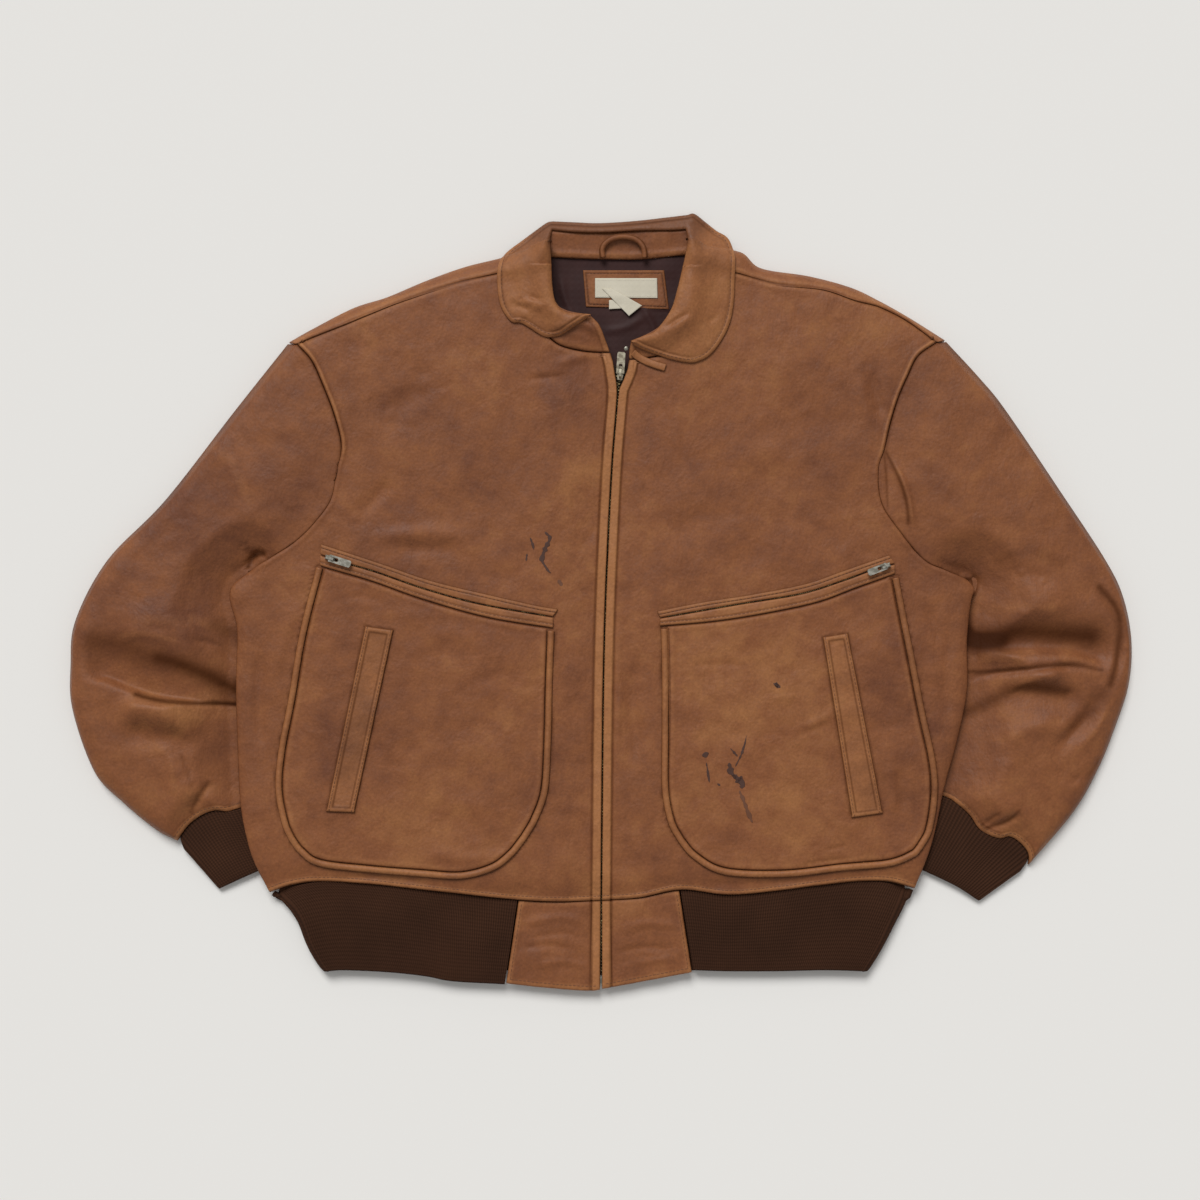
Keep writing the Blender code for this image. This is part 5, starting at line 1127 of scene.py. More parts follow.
def yoke(side, sign):
    """Strip of the back that rolls over the shoulder line to the front's seam."""
    insets = 1 - FRONT_INSETS / FRONT_WIDTH
    part = np.r_[FRONT_SHARES * insets[0], insets[1:]]
    shares = np.r_[np.linspace(0, 0.3, 16), np.linspace(0.3, 1, 30)[1:]]
    seam = beside(along(SHOULDER_SEAMS[side], part), -sign * SEAM_GAP)
    line = along(SHOULDERS[side], part)
    grid = between(line, seam, shares)
    d_out, d_seam = distance(grid, SHOULDERS[side]), distance(grid, SHOULDER_SEAMS[side])
    top = YOKE_MIDDLE + (body_top(grid) + ripple(grid) - YOKE_MIDDLE) * rounded(d_out, 0.005)
    top += 0.001 * (rounded(d_seam, 0.0024) - 1) + 0.0006 * band(d_seam, 0.0034, 0.002)
    turn = np.linspace(0.0075, 0.0006, 8)
    inward = (seam - line) / np.linalg.norm(seam - line, axis=1, keepdims=True)
    under = line[:, None] + inward[:, None] * turn[None, :, None]
    low = np.broadcast_to(YOKE_MIDDLE * (1 - rounded(turn, 0.005)), under.shape[:2])
    full = np.concatenate([on(under, low), on(grid, top)], axis=1)
    p = full[..., :2]
    d_out, d_seam = distance(p, SHOULDERS[side]), distance(p, SHOULDER_SEAMS[side])
    wear = 0.55 * band(d_seam, 0.003, 0.003) + 0.35 * band(d_out, 0, 0.006)
    dark = 0.7 * band(d_seam, 0, 0.0009) + 0.6 * band(distance(p, ARMHOLES[side]), 0, 0.0009)
    panel(f"leather_yoke_{side}", full, SOFT_WALL, "brown", (wear, dark), [f"yoke_{side}"])


class JACKET_OT_back(bpy.types.Operator):
    """Back with its two shoulder strips rolled over to the front, and the lining at the neck"""
    bl_idname = "jacket.back"
    bl_label = "Back and yoke"

    def execute(self, context):
        for side, sign in SIDES.items():
            yoke(side, sign)
        back_and_lining()
        return {"FINISHED"}


OUTER_ROWS = np.array([0.004, 0.08, 0.16, 0.23, 0.3, 0.37, 0.43, 0.48, 0.53, 0.575, 0.615, 0.655, 0.695,
                       0.74, 0.79, 0.85, 0.91, 0.96, 1.0])
INNER_ROWS = np.linspace(0, 1, len(OUTER_ROWS) - len(ARM_LOWER))


def sleeve(side, sign):
    """One skin: lower wall, rolled outer edge, and the upper wall with its folds."""
    last = len(OUTER_ROWS) - 1
    knots = np.r_[0, 0.03, 0.08, 0.16, 0.28, np.linspace(0.42, last - 0.3, 210),
                  last - np.array([0.2, 0.12, 0.06, 0.02, 0])]
    outer_share = np.interp(knots, np.arange(last + 1), OUTER_ROWS)
    split = len(ARM_LOWER)
    arm_share = ARM_SPLIT + (1 - ARM_SPLIT) * np.interp(knots, np.arange(split + 1), [0, *ARM_LOWER])
    inner_share = np.interp(knots - split, np.arange(len(INNER_ROWS)), INNER_ROWS)
    across = np.r_[0, 0.003, 0.008, 0.015, 0.024, 0.034, np.linspace(0.046, 1, 84)]
    arm_line = beside(ARMHOLES[side], -sign * ARM_TOUCH)
    outer = along(SLEEVE_EDGES[side], outer_share)
    inner = np.where((knots <= split)[:, None], along(arm_line, arm_share),
                     along(SLEEVE_INNERS[side], inner_share))
    head = along(arm_line, across * ARM_SPLIT)
    cuff = along(CUFF_SEAMS[side], across)
    head[0], cuff[0], cuff[-1] = outer[0], outer[-1], inner[-1]
    grid = coons(head, cuff, outer, inner, across, outer_share)
    lines = SLEEVE_EDGES[side], ARMHOLES[side], CUFF_SEAMS[side]
    d_out, d_arm, d_cuff = (distance(grid, line) for line in lines)
    top = SLEEVE_MIDDLE + (sleeve_face(grid, side) - SLEEVE_MIDDLE) * rounded(d_out, 0.005)
    top += (0.3 + 0.7 * upper_arm(grid)) * 0.0013 * (rounded(d_arm, 0.0026) - 1)
    top += 0.0007 * band(d_cuff, 0.003, 0.002) + 0.0009 * (rounded(d_cuff, 0.002) - 1)
    low = SLEEVE_MIDDLE * (1 - rounded(d_out, 0.005))
    full = np.concatenate([on(grid, low)[::-1], on(grid, top)[1:]])
    p = full[..., :2]
    upper = np.r_[np.zeros(len(across)), np.ones(len(across) - 1)][:, None]
    d_out, d_arm, d_cuff = (distance(p, line) for line in lines)
    wear = band(d_cuff, 0.002, 0.003) * upper + 0.25 * band(d_out, 0, 0.006)
    fold = sum(np.exp(-(distance(p, plan(path, TOP_LEVEL)) / (0.7 * MM * width))**2)
               for path, *_, width, height in SLEEVE_FOLDS[side] + SLEEVE_CREASES[side] if height > 0)
    wear += 0.35 * np.clip(fold, 0, 1) * upper
    seam = (0.2 + 0.5 * upper_arm(p)) * band(d_arm, 0, 0.0018) + 0.45 * band(d_cuff, SEAM_STITCH, 0.0009)
    # Dark seams plus the painted shade of the folds, on the upper wall only
    seam = (seam + painted_fold_shade(p, side)) * upper
    panel(f"leather_sleeve_{side}", full, SOFT_WALL, "brown", (wear, seam),
          [f"sleeve_{side}_top", f"sleeve_{side}_under"])
    sew(f"stitches_cuff_{side}", [inset_line(full[len(across):], SEAM_STITCH)])


class JACKET_OT_sleeves(bpy.types.Operator):
    """Sleeves: each one skin from the armhole over the outer edge and back underneath"""
    bl_idname = "jacket.sleeves"
    bl_label = "Sleeves"

    def execute(self, context):
        for side, sign in SIDES.items():
            sleeve(side, sign)
        return {"FINISHED"}


RIB_POINTS = 5
# Length of the ribbed strip on each front and on the back
RIB_WIDTH = {"right": 0.215, "left": 0.205, "back": 0.6}
# Length of a cuff and of the hem band, in millimetres
CUFF_LENGTH = 85
HEM_LENGTH = 75


def knit_cuffs(look):
    """Flattened tubes: an oval section from the sleeve's seam to the cuff's own edge."""
    rows = np.r_[0, 0.02, 0.05, np.linspace(0.1, 0.9, 16), 0.95, 0.98, 0.993, 1.0]
    for side, sign in SIDES.items():
        ends = curve(CUFF_END[side], EDGE_LEVEL)
        width, middle = np.linalg.norm(ends[-1] - ends[0]), CUFF_TOP / 2
        angle = np.linspace(0, np.pi, 2000)
        section = np.stack([width * (1 - np.cos(angle)) / 2, middle * np.sqrt(np.sin(angle))], axis=1)
        run = lengths(section)
        half = int(round(run[-1] / look.rib_pitch)) * RIB_POINTS
        angle = np.interp(np.linspace(0, run[-1], half + 1), run, angle)
        across = (1 - np.cos(angle)) / 2
        seam = beside(along(CUFF_SEAMS[side], across), -sign * GAP)
        end = along(ends, across)
        start = seam[0] * 0.8 + end[0] * 0.2
        blend = ease(1 - across / 0.06)[:, None]
        seam = seam * (1 - blend) + start * blend
        grid = between(seam, end, rows)
        bulge = np.sqrt(np.sin(angle))[:, None]
        taper = 1 - 0.25 * ease((rows - 0.93) / 0.07)[None]
        top, foot = on(grid, middle + middle * bulge * taper), on(grid, middle - middle * bulge * taper)
        ring = np.concatenate([top, foot[-2:0:-1]], axis=0).transpose(1, 0, 2)
        turn = np.broadcast_to(np.arange(ring.shape[1])[None] / RIB_POINTS, ring.shape[:2])
        rib_wall(f"knit_cuff_{side}", ring, turn, rows, look, True, f"cuff_{side}",
                 CUFF_LENGTH)


def rib_wall(name, face, turn, rows, look, wrap, cad, length):
    """Ribs stand out by a cosine of their count round the face, less at the free edge; length is in mm."""
    down = rows[:, None] if len(turn) == len(rows) else rows[None]
    rib = (0.5 + 0.5 * np.cos(2 * np.pi * turn)) * (1 - 0.5 * ease((down - 0.96) / 0.04))
    normal = outward(face, wrap)
    outer = face + normal * (look.rib_height * (rib - 1))[..., None]
    uv = np.stack([turn * look.rib_pitch / MM, np.broadcast_to(down * length, turn.shape)], axis=-1)
    piece = wall(name, outer, KNIT, "knit", {"groove": 1 - rib}, wrap, uv, face - normal * KNIT)
    stand_for(piece, [cad])


def knit_hem(look):
    """One strip round the hem: right front, its rolled side, the back, the left roll and front."""
    rows = np.r_[0, 0.015, 0.04, np.linspace(0.09, 0.92, 11), 0.96, 0.985, 1.0]
    level = RIB_TOP - RIB_FALL * rows
    radius = level / 2
    halves = {}
    for side, inward in SIDES.items():
        count = int(round(RIB_WIDTH[side] / look.rib_pitch)) * RIB_POINTS + 1
        seam = HEM_SEAMS[side] - (0, GAP)
        shares = np.linspace(0, 1, count)
        top = along(seam, TAB_SHARE[side] + (1 - TAB_SHARE[side]) * shares)
        end = along(curve(RIB_END[side], EDGE_LEVEL), shares)
        edge = along(curve(RIB_SIDE[side], EDGE_LEVEL) - (0, SEAM_GAP), rows)
        tab_edge = top[0] * (1 - rows[:, None]) + end[0] * rows[:, None]
        top[-1], end[-1] = edge[0], edge[-1]
        grid = coons(top, end, tab_edge, edge, shares, rows)
        span = grid[-1, :, 0] - grid[0, :, 0]
        grid[..., 0] += (grid[..., 0] - grid[0, :, 0]) / span * inward * radius
        front = on(grid, level + (0.0012 + 0.001 * undulation(grid, 0.035, 31)) * np.sin(np.pi * rows))
        turn = np.linspace(0, np.pi, 4 * RIB_POINTS + 1)[1:-1, None]
        roll_x = edge[None, :, 0] + inward * (radius - radius * np.sin(turn))
        roll_y = np.broadcast_to(edge[None, :, 1], roll_x.shape)
        roll = np.dstack([roll_x, roll_y, radius + radius * np.cos(turn)])
        back = np.stack([edge[:, 0] + inward * radius, edge[:, 1], np.zeros(len(rows))], axis=-1)
        halves[side] = (front, roll, back)
    count = int(round(RIB_WIDTH["back"] / look.rib_pitch)) * RIB_POINTS + 1
    shares = np.linspace(0, 1, count)[:, None, None]
    back = halves["right"][2][None] * (1 - shares) + halves["left"][2][None] * shares
    hem = np.vstack([HEM_SEAMS["right"][::-1], HEM_SEAMS["left"]])
    drop = np.interp(back[:, 0, 0], hem[:, 0], hem[:, 1]) - GAP - back[:, 0, 1]
    back[..., 1] += drop[:, None] * (1 - rows)
    left_front, left_roll = (part[::-1] for part in halves["left"][:2])
    face = np.concatenate([*halves["right"][:2], back, left_roll, left_front])
    face[..., 2] += side_lift(face[..., :2]) * (1 - ease((face[..., 2] - 0.004) / 0.008))
    corner = np.minimum(*(np.linalg.norm(face[..., :2] - line[-1], axis=-1) for line in BODY_SIDES.values()))
    face[..., 2] *= 1 - 0.5 * np.exp(-(corner / 0.02)**2)
    tuck = np.exp(-(corner / CORNER_REACH)**2)
    face[..., 0] -= CORNER_TUCK * tuck * np.sign(face[..., 0])
    face[..., 1] += 0.55 * CORNER_TUCK * tuck
    turn = np.broadcast_to(np.arange(len(face))[:, None] / RIB_POINTS, face.shape[:2])
    rib_wall("knit_hem", face, turn, rows, look, False, "hem_rib", HEM_LENGTH)


class JACKET_OT_knit(bpy.types.Operator):
    """Ribbed knit of the cuffs and the hem"""
    bl_idname = "jacket.knit"
    bl_label = "Cuffs and hem rib"

    def execute(self, context):
        knit_cuffs(context.scene.jacket_look)
        knit_hem(context.scene.jacket_look)
        return {"FINISHED"}


def hem_tab(side, sign):
    """Stitched leather end of the hem band with a strip along the zip."""
    rows = np.r_[0, 0.01, 0.025, 0.045, np.linspace(0.07, 0.93, 44), 0.955, 0.975, 0.99, 1.0]
    columns = np.r_[0, 0.008, 0.02, 0.035, np.linspace(0.055, 0.945, 50), 0.965, 0.98, 0.992, 1.0]
    seam = along(HEM_SEAMS[side] - (0, GAP), columns * (TAB_SHARE[side] - 0.004))
    end = along(curve(HEM_TAB_END[side], EDGE_LEVEL), columns)
    end[:, 0] += sign * 0.0004
    near, far = (seam[k] * (1 - rows[:, None]) + end[k] * rows[:, None] for k in (0, -1))
    grid = coons(seam, end, near, far, columns, rows)
    d_near, d_far = distance(grid, near), distance(grid, far)
    d_seam, d_end = distance(grid, seam), distance(grid, end)
    strip = strip_share(d_near)
    level = np.broadcast_to(TAB_TOP - RIB_FALL * rows, grid.shape[:2]) + 0.0007 * strip
    level = level - 0.001 * band(d_near, GROOVE, 0.0011) + ripple(grid) * 1.2
    level += creases(grid, TAB_CREASES) + 0.0004 * band(d_far, 0.004, 0.0015)
    level += 0.0013 * sum(rounded(d, 0.0026) - 1 for d in (d_seam, d_end, d_far, d_near))
    wear = MOST_WEAR * strip + 0.8 * band(d_end, 0.002, 0.004) + 0.7 * band(d_far, 0.002, 0.003)
    wear += 0.4 * band(d_seam, 0.002, 0.003)
    dark = 0.8 * band(d_near, GROOVE, 0.0011) + 0.6 * band(d_seam, 0, 0.001)
    outer = on(grid, level)
    panel(f"leather_tab_{side}", outer, LEATHER, "brown", (wear, dark), [f"hem_tab_{side}"])
    lines = inset_line(outer, 0.0048), inset_line(outer.transpose(1, 0, 2), 0.0036)
    sew(f"stitches_tab_{side}", [line[3:-3] for line in lines])


class JACKET_OT_tabs(bpy.types.Operator):
    """Leather ends of the hem band, each side of the zip"""
    bl_idname = "jacket.tabs"
    bl_label = "Hem tabs"

    def execute(self, context):
        for side, sign in SIDES.items():
            hem_tab(side, sign)
        return {"FINISHED"}


def collar_curves(side_count, back_count):
    """Inner and outer edge of the fall, from the right front tip round the neck to the left tip."""
    side_shares, back_shares = np.linspace(0, 1, side_count), np.linspace(0, 1, back_count)[1:-1]
    edges = []
    for sides, back in ((COLLAR_ROLL, COLLAR_BACK_SEAM), (COLLAR_EDGE, COLLAR_BACK_EDGE)):
        edges.append(np.vstack([along(curve(sides["right"], COLLAR_LEVEL), side_shares),
                                along(curve(back, COLLAR_LEVEL), back_shares),
                                along(curve(sides["left"], COLLAR_LEVEL), side_shares)]))
    return edges


def collar_fall():
    """Height is what the collar lies on plus a crest whose profile runs smoothly from roll to edge."""
    side_count, back_count = 150, 60
    inner, outer = collar_curves(side_count, back_count)
    rows = np.r_[0, 0.012, 0.03, 0.05, np.linspace(0.075, 0.94, 30), 0.96, 0.975, 0.987, 0.995, 1.0]
    grid = between(inner, outer, rows)
    side_shares = np.linspace(0, 1, side_count)
    knots = np.linspace(0, 1, len(COLLAR_CREST["right"]))
    smooth = {side: spline(np.stack([knots, COLLAR_CREST[side]], axis=1)) for side in SIDES}
    behind = np.ones(back_count - 2)
    crest = np.r_[np.interp(side_shares, *smooth["right"].T), COLLAR_CREST["left"][0] * behind,
                  np.interp(side_shares, *smooth["left"].T)]
    place = np.r_[ease((side_shares - 0.8) / 0.2), behind, 1 - ease(side_shares / 0.2)]
    place = place[:, None]
    beside_roll = np.interp(rows, *spline(np.stack([COLLAR_ROWS, COLLAR_CREST_SIDE], axis=1)).T)
    at_back = np.interp(rows, *spline(np.stack([COLLAR_ROWS, COLLAR_CREST_BACK], axis=1)).T)
    profile = beside_roll * (1 - place) + at_back * place
    level = collar_rest(grid) + crest[:, None] * profile + COLLAR_WALL
    d_edge, d_roll = distance(grid, outer), distance(grid, inner)
    level += creases(grid, COLLAR_CREASES) + ripple(grid) * 0.8
    level += 0.0014 * (rounded(d_edge, 0.0032) - 1) + 0.0012 * (rounded(d_roll, 0.003) - 1)
    level += 0.0004 * band(d_edge, 0.0025, 0.0014) - 0.0005 * band(d_edge, 0.0046, 0.0009)
    full = on(grid, level)
    wear = 0.55 * band(d_edge, 0.0015, 0.0028) + 0.35 * band(d_roll, 0.002, 0.006)
    dark = 0.35 * band(d_edge, 0.0046, 0.0008)
    marks = wear * (1 - place), dark, -1.6 * place
    panel("leather_collar", full, COLLAR_WALL, "tan", marks, ["collar"])
    sew("stitches_collar", [inset_line(full, 0.0046)])


def collar_stands():
    """The stand rises from the neck seam to the roll; behind the neck it lies on the back."""
    columns = np.r_[0, 0.01, np.linspace(0.025, 0.975, 80), 0.99, 1.0]
    rows = np.r_[0, 0.03, 0.07, np.linspace(0.12, 0.88, 16), 0.93, 0.97, 1.0]
    r = rows[:, None]
    for side, sign in SIDES.items():
        foot = beside(along(NECKLINES[side], columns), sign * SEAM_GAP)
        roll = along(curve(STAND_ROLL[side]), columns)
        near = foot[0] * (1 - r) + roll[0] * r
        far = along(curve(STAND_FRONT[side]), rows)
        foot[-1], roll[-1] = far[0], far[-1]
        grid = coons(foot, roll, near, far, columns, rows)
        d_foot, d_far = distance(grid, foot), distance(grid, far)
        level = neck_level(grid) + ripple(grid) * 0.6 + creases(grid, STAND_CREASES)
        level += 0.0011 * (rounded(d_foot, 0.0024) - 1) + 0.0011 * (rounded(d_far, 0.0026) - 1)
        full = on(grid, level)
        wear = 0.7 * band(d_far, 0.002, 0.003) + 0.4 * band(d_foot, 0.003, 0.003)
        dark = 0.6 * band(d_foot, 0, 0.0009) + 0.35 * band(d_far, 0.0048, 0.0008)
        panel(f"leather_stand_{side}", full, LEATHER, "brown", (wear, dark), [f"stand_{side}"])
    columns = np.linspace(-0.035, 1.035, 110)
    lines = []
    for points in (BACK_STAND_TOP, BACK_STAND_FOOT):
        line = curve(points, COLLAR_LEVEL / 2)
        line = np.vstack([9 * line[0] - 8 * line[1], line, 9 * line[-1] - 8 * line[-2]])
        lines.append(along(line, (columns + 0.035) / 1.07))
    top_line, foot_line = lines
    rows = np.linspace(-0.3, 1, 34)
    grid = between(top_line, foot_line, rows)
    level = STAND_BACK_TOP - STAND_BACK_FALL * rows[None] + 0.0005 * undulation(grid, 0.012, 41)
    level = level - 0.0017 * ease(-rows / 0.2)[None]
    d_top, d_foot = distance(grid, grid[:, 0]), distance(grid, foot_line)
    level = level + 0.001 * (rounded(d_foot, 0.0024) - 1) + 0.0009 * band(d_foot, 0.004, 0.0025)
    full = on(grid, level)
    # Painted shade at both ends of the strip, where they run under the collar
    dark = sum(0.5 * band(distance(grid, grid[end]), 0, 0.006) for end in (0, -1))
    marks = 0.5 * band(d_foot, 0.003, 0.003), dark
    panel("leather_stand_back", full, LEATHER, "brown", marks, ["stand_back"])


class JACKET_OT_collar(bpy.types.Operator):
    """Turned-down collar, its stand round the neck and the part of the stand behind the neck"""
    bl_idname = "jacket.collar"
    bl_label = "Collar"

    def execute(self, context):
        collar_fall()
        collar_stands()
        return {"FINISHED"}


# Stitches

STITCH_RINGS = np.array([-1.0, -0.6, 0.6, 1.0])
STITCH_SWELL = np.array([0.35, 1.0, 1.0, 0.35])
STITCH_CAPS = np.array([[0, 3, 2, 1], [12, 13, 14, 15]])


def inset_line(grid, inset):
    """Line on a surface at a given distance from its last column, measured along each of its rows."""
    back = grid[:, ::-1]
    run = np.linalg.norm(np.diff(back, axis=1), axis=-1).cumsum(axis=1)
    run = np.concatenate([np.zeros((len(run), 1)), run], axis=1)
    last = np.clip((run < inset).sum(axis=1), 1, run.shape[1] - 1)
    row = np.arange(len(run))
    low, high = run[row, last - 1], run[row, last]
    share = np.clip((inset - low) / np.maximum(high - low, 1e-9), 0, 1)[:, None]
    return back[row, last - 1] * (1 - share) + back[row, last] * share


def sew(name, lines, pitch=None, size=None, colour="thread"):
    """Row of stitches: capsules of four rings laid along a line with even pitch and a gap between them."""
    look = bpy.context.scene.jacket_look
    pitch = pitch or look.stitch_pitch
    radius = size or look.thread_size / 2
    parts = []
    angle = np.arange(4) * np.pi / 2 + np.pi / 4
    for line in lines:
        number = max(int(lengths(line)[-1] / pitch), 2)
        shares = (np.arange(number) + 0.5) / number
        centre = along(line, shares)
        before, after = (along(line, np.clip(shares + step / number, 0, 1)) for step in (-0.3, 0.3))
        ahead = (after - before) / np.linalg.norm(after - before, axis=1, keepdims=True)
        side = np.cross(ahead, (0, 0, 1))
        side /= np.linalg.norm(side, axis=1, keepdims=True)
        up = np.cross(side, ahead)
        reach = STITCH_RINGS * pitch * look.stitch_share / 2
        around = side[:, None, None] * np.cos(angle)[:, None] + up[:, None, None] * np.sin(angle)[:, None]
        points = centre[:, None, None] + ahead[:, None, None] * reach[None, :, None, None]
        points = points + radius * STITCH_SWELL[None, :, None, None] * around
        parts.append(points.reshape(-1, 3))
    one = np.vstack([quads(4, 4, wrap=True), STITCH_CAPS])
    points = np.vstack(parts)
    return make(name, points, repeated(one, len(points) // 16, 16), colour)


def repeated(faces, count, step):
    """Faces of one small piece, repeated for all its copies."""
    return (faces[None] + step * np.arange(count)[:, None, None]).reshape(-1, 4)


def patch_level(p):
    """Outer face of a pocket patch, which follows the front under it."""
    return front_top(p) + ON_FRONT + PATCH_WALL + creases(p, POCKET_CREASES)


def throat_strip():
    """Short strip of even width with rounded edges, from the zip to the left side of the neck."""
    line = along(curve(THROAT_STRIP), np.linspace(0, 1, 60))
    across = np.linspace(0, 1, 18)
    grid = strip_grid(line, THROAT_STRIP_WIDTH, across)
    rise = LEATHER * (0.45 + 0.55 * np.sin(np.pi * across)**0.5)
    full = on(grid, neck_level(grid) + COLLAR_CLEAR + rise[None])
    marks = 0.5, 0.5 * np.abs(2 * across - 1)[None]**6
    panel("leather_throat_strip", full, THROAT_WALL, "tan", marks, ["throat_strip"])


def hanger_loop():
    """Round tube along the loop's line, a little narrower at its two sewn ends."""
    radius = 0.0026
    line = along(curve(HANGER_LOOP, COLLAR_LEVEL / 2), np.linspace(0, 1, 90))
    top_y, foot_y = plan((0, 232))[1], plan((0, 258))[1]
    share = np.clip((top_y - line[:, 1]) / (top_y - foot_y), 0, 1)
    level = STAND_BACK_TOP - STAND_BACK_FALL * share + 4 * GAP + radius
    turn = np.arange(20) * np.pi / 10
    ends = np.minimum(np.arange(90), np.arange(90)[::-1])
    size = radius * np.where(ends == 0, 0.05, np.where(ends == 1, 0.7, 1.0))[:, None]
    ring = np.dstack([line[:, None] + left_of(line)[:, None] * (size * np.cos(turn))[..., None],
                      level[:, None] + size * np.sin(turn)])
    edge = np.broadcast_to(np.cos(turn - np.pi / 4)[None]**16, ring.shape[:2])
    even = np.ones(edge.shape)
    marks = {"tone": 0 * even, "wear": 0.35 * even, "seam": 0.7 * edge}
    stand_for(tube("leather_hanger_loop", ring, "brown", marks), ["hanger_loop"])


def neck_labels():
    """Four-sided sheets with rounded edges: patch, bare label and folded tag, with their stitches."""
    shares = np.r_[0, 0.012, 0.03, np.linspace(0.06, 0.94, 40), 0.97, 0.988, 1.0]
    level = LINING_TOP + GAP
    for name, corners, wall_size, kind, rise in (
            ("label_patch", LABEL_PATCH, PATCH_WALL, "brown", PATCH_WALL),
            ("label", LABEL, PAPER, "label", PATCH_WALL + GAP + PAPER),
            ("care_tag_end", CARE_TAG_END, PAPER, "label", PATCH_WALL + GAP + PAPER),
            ("care_tag", CARE_TAG, PAPER, "label", PATCH_WALL + 2 * GAP + 2 * PAPER)):
        c = plan(corners)
        u, v = shares[:, None, None], shares[None, :, None]
        grid = (c[0] * (1 - u) + c[1] * u) * (1 - v) + (c[3] * (1 - u) + c[2] * u) * v
        d = np.minimum.reduce([distance(grid, c[[a, b]]) for a, b in ((0, 1), (1, 2), (2, 3), (3, 0))])
        top = level + rise + 0.5 * wall_size * (rounded(d, 0.0012) - 1)
        if name == "label_patch":
            top = top - 0.0003 * band(d, 0.0024, 0.0006) + 0.00025 * undulation(grid, 0.012, 51)
        elif name == "care_tag":
            top = top + 0.0006 * undulation(grid, 0.008, 53)
        full = on(grid, top)
        marks = 0.35 * band(d, 0, 0.0018), 0.5 * band(d, 0.0024, 0.0006), 0.3
        panel(f"cloth_{name}", full, wall_size * 0.8, kind, marks, [name])
    level += PATCH_WALL
    for name, path, rise, *looks in (
            ("stitches_label_patch", PATCH_STITCHES, 0, 0.003),
            ("stitches_label", LABEL_STITCHES, GAP + PAPER, 0.0022, 0.00018, "cream")):
        line = along(plan(path), np.linspace(0, 1, 200))
        sew(name, [on(line[None], np.full((1, 200), level + rise))[0]], *looks)
    snap_knob()


def snap_knob():
    """Small domed knob on the front by the throat: a profile turned round its axis."""
    radius = np.array([0.0, 0.5, 0.85, 1.0, 1.0, 0.9, 0.6, 0.3, 0.0]) * 0.0021
    height = np.array([0, 0, 0.05, 0.3, 0.6, 0.85, 1.0, 1.05, 1.06]) * 0.0016
    turn = np.arange(24) * np.pi / 12
    place = plan((626, 349), TOP_LEVEL)
    base = float(neck_level(place[None])[0]) + 0.0004
    circle = np.stack([np.cos(turn), np.sin(turn)], axis=-1)
    ring = on(place + radius[:, None, None] * circle, np.broadcast_to(base + height[:, None], (9, 24)))
    tube("snap_knob", ring, "nickel")


class JACKET_OT_neck(bpy.types.Operator):
    """Strip at the throat, hanger loop, and the blank label patch, label and care tag"""
    bl_idname = "jacket.neck"
    bl_label = "Neck pieces"

    def execute(self, context):
        throat_strip()
        hanger_loop()
        neck_labels()
        return {"FINISHED"}


def pocket_line(side, count=160):
    """Middle of the piped edge: down the outer side, along the foot and up the inner side."""
    outer, inner, foot = (along(curve(points[side]), np.linspace(0, 1, count))
                          for points in (POCKET_OUTER, POCKET_INNER, POCKET_FOOT))
    return np.vstack([outer, foot[1:-1], inner[::-1]])


def pocket_piping(side):
    """Half-round strip along the pocket's edge."""
    line = pocket_line(side)
    across = np.linspace(0, 1, 13)
    grid = strip_grid(line, PIPING_WIDTH, across)
    bow = np.sin(np.pi * across)**0.6
    level = front_top(line)[:, None] + ON_FRONT + PIPING_RISE * (0.15 + 0.85 * bow)[None]
    full = on(grid, level)
    dark = 0.5 * np.abs(2 * across - 1)[None]**8
    marks = 0.3 * bow[None], dark
    panel(f"leather_piping_{side}", full, PIPING_WALL, "tan", marks, [f"pocket_piping_{side}"])


def pocket_patch(side, sign, mouth):
    """Four-edged patch inside the piping that follows the front, with its own creases and marks."""
    count = 150
    shares = np.linspace(0, 1, count)
    ring = beside(pocket_line(side, count), sign * (PIPING_WIDTH / 2 + 2 * GAP))
    outer, foot, inner = ring[:count], ring[count - 1:2 * count - 1], ring[2 * count - 2:][::-1]
    foot = foot.copy()
    foot[0], foot[-1] = outer[-1], inner[-1]
    head = along(mouth - (0, 3 * GAP), 0.02 + 0.96 * shares)
    head[0], head[-1] = outer[0], inner[0]
    grid = coons(head, foot, outer, inner, shares, shares)
    d_edge = np.minimum(distance(grid, ring[::3]), distance(grid, head[::3]))
    level = patch_level(grid) + 0.0005 * (rounded(d_edge, 0.0012) - 1)
    level += 0.0003 * band(d_edge, 0.003, 0.002)
    full = on(grid, level)
    corners = np.vstack([plan(HAND_WELT[side], TOP_LEVEL), plan(HAND_WELT[side], TOP_LEVEL)[:1]])
    d_welt = distance(grid, corners)
    dark = 0.4 * band(d_edge, 0, 0.0008) + 0.45 * band(d_welt, 0.0006, 0.0009)
    marks = 0.4 * band(d_edge, 0.003, 0.003), dark
    panel(f"leather_pocket_{side}", full, PATCH_WALL * 0.9, "brown", marks, [f"pocket_{side}"])


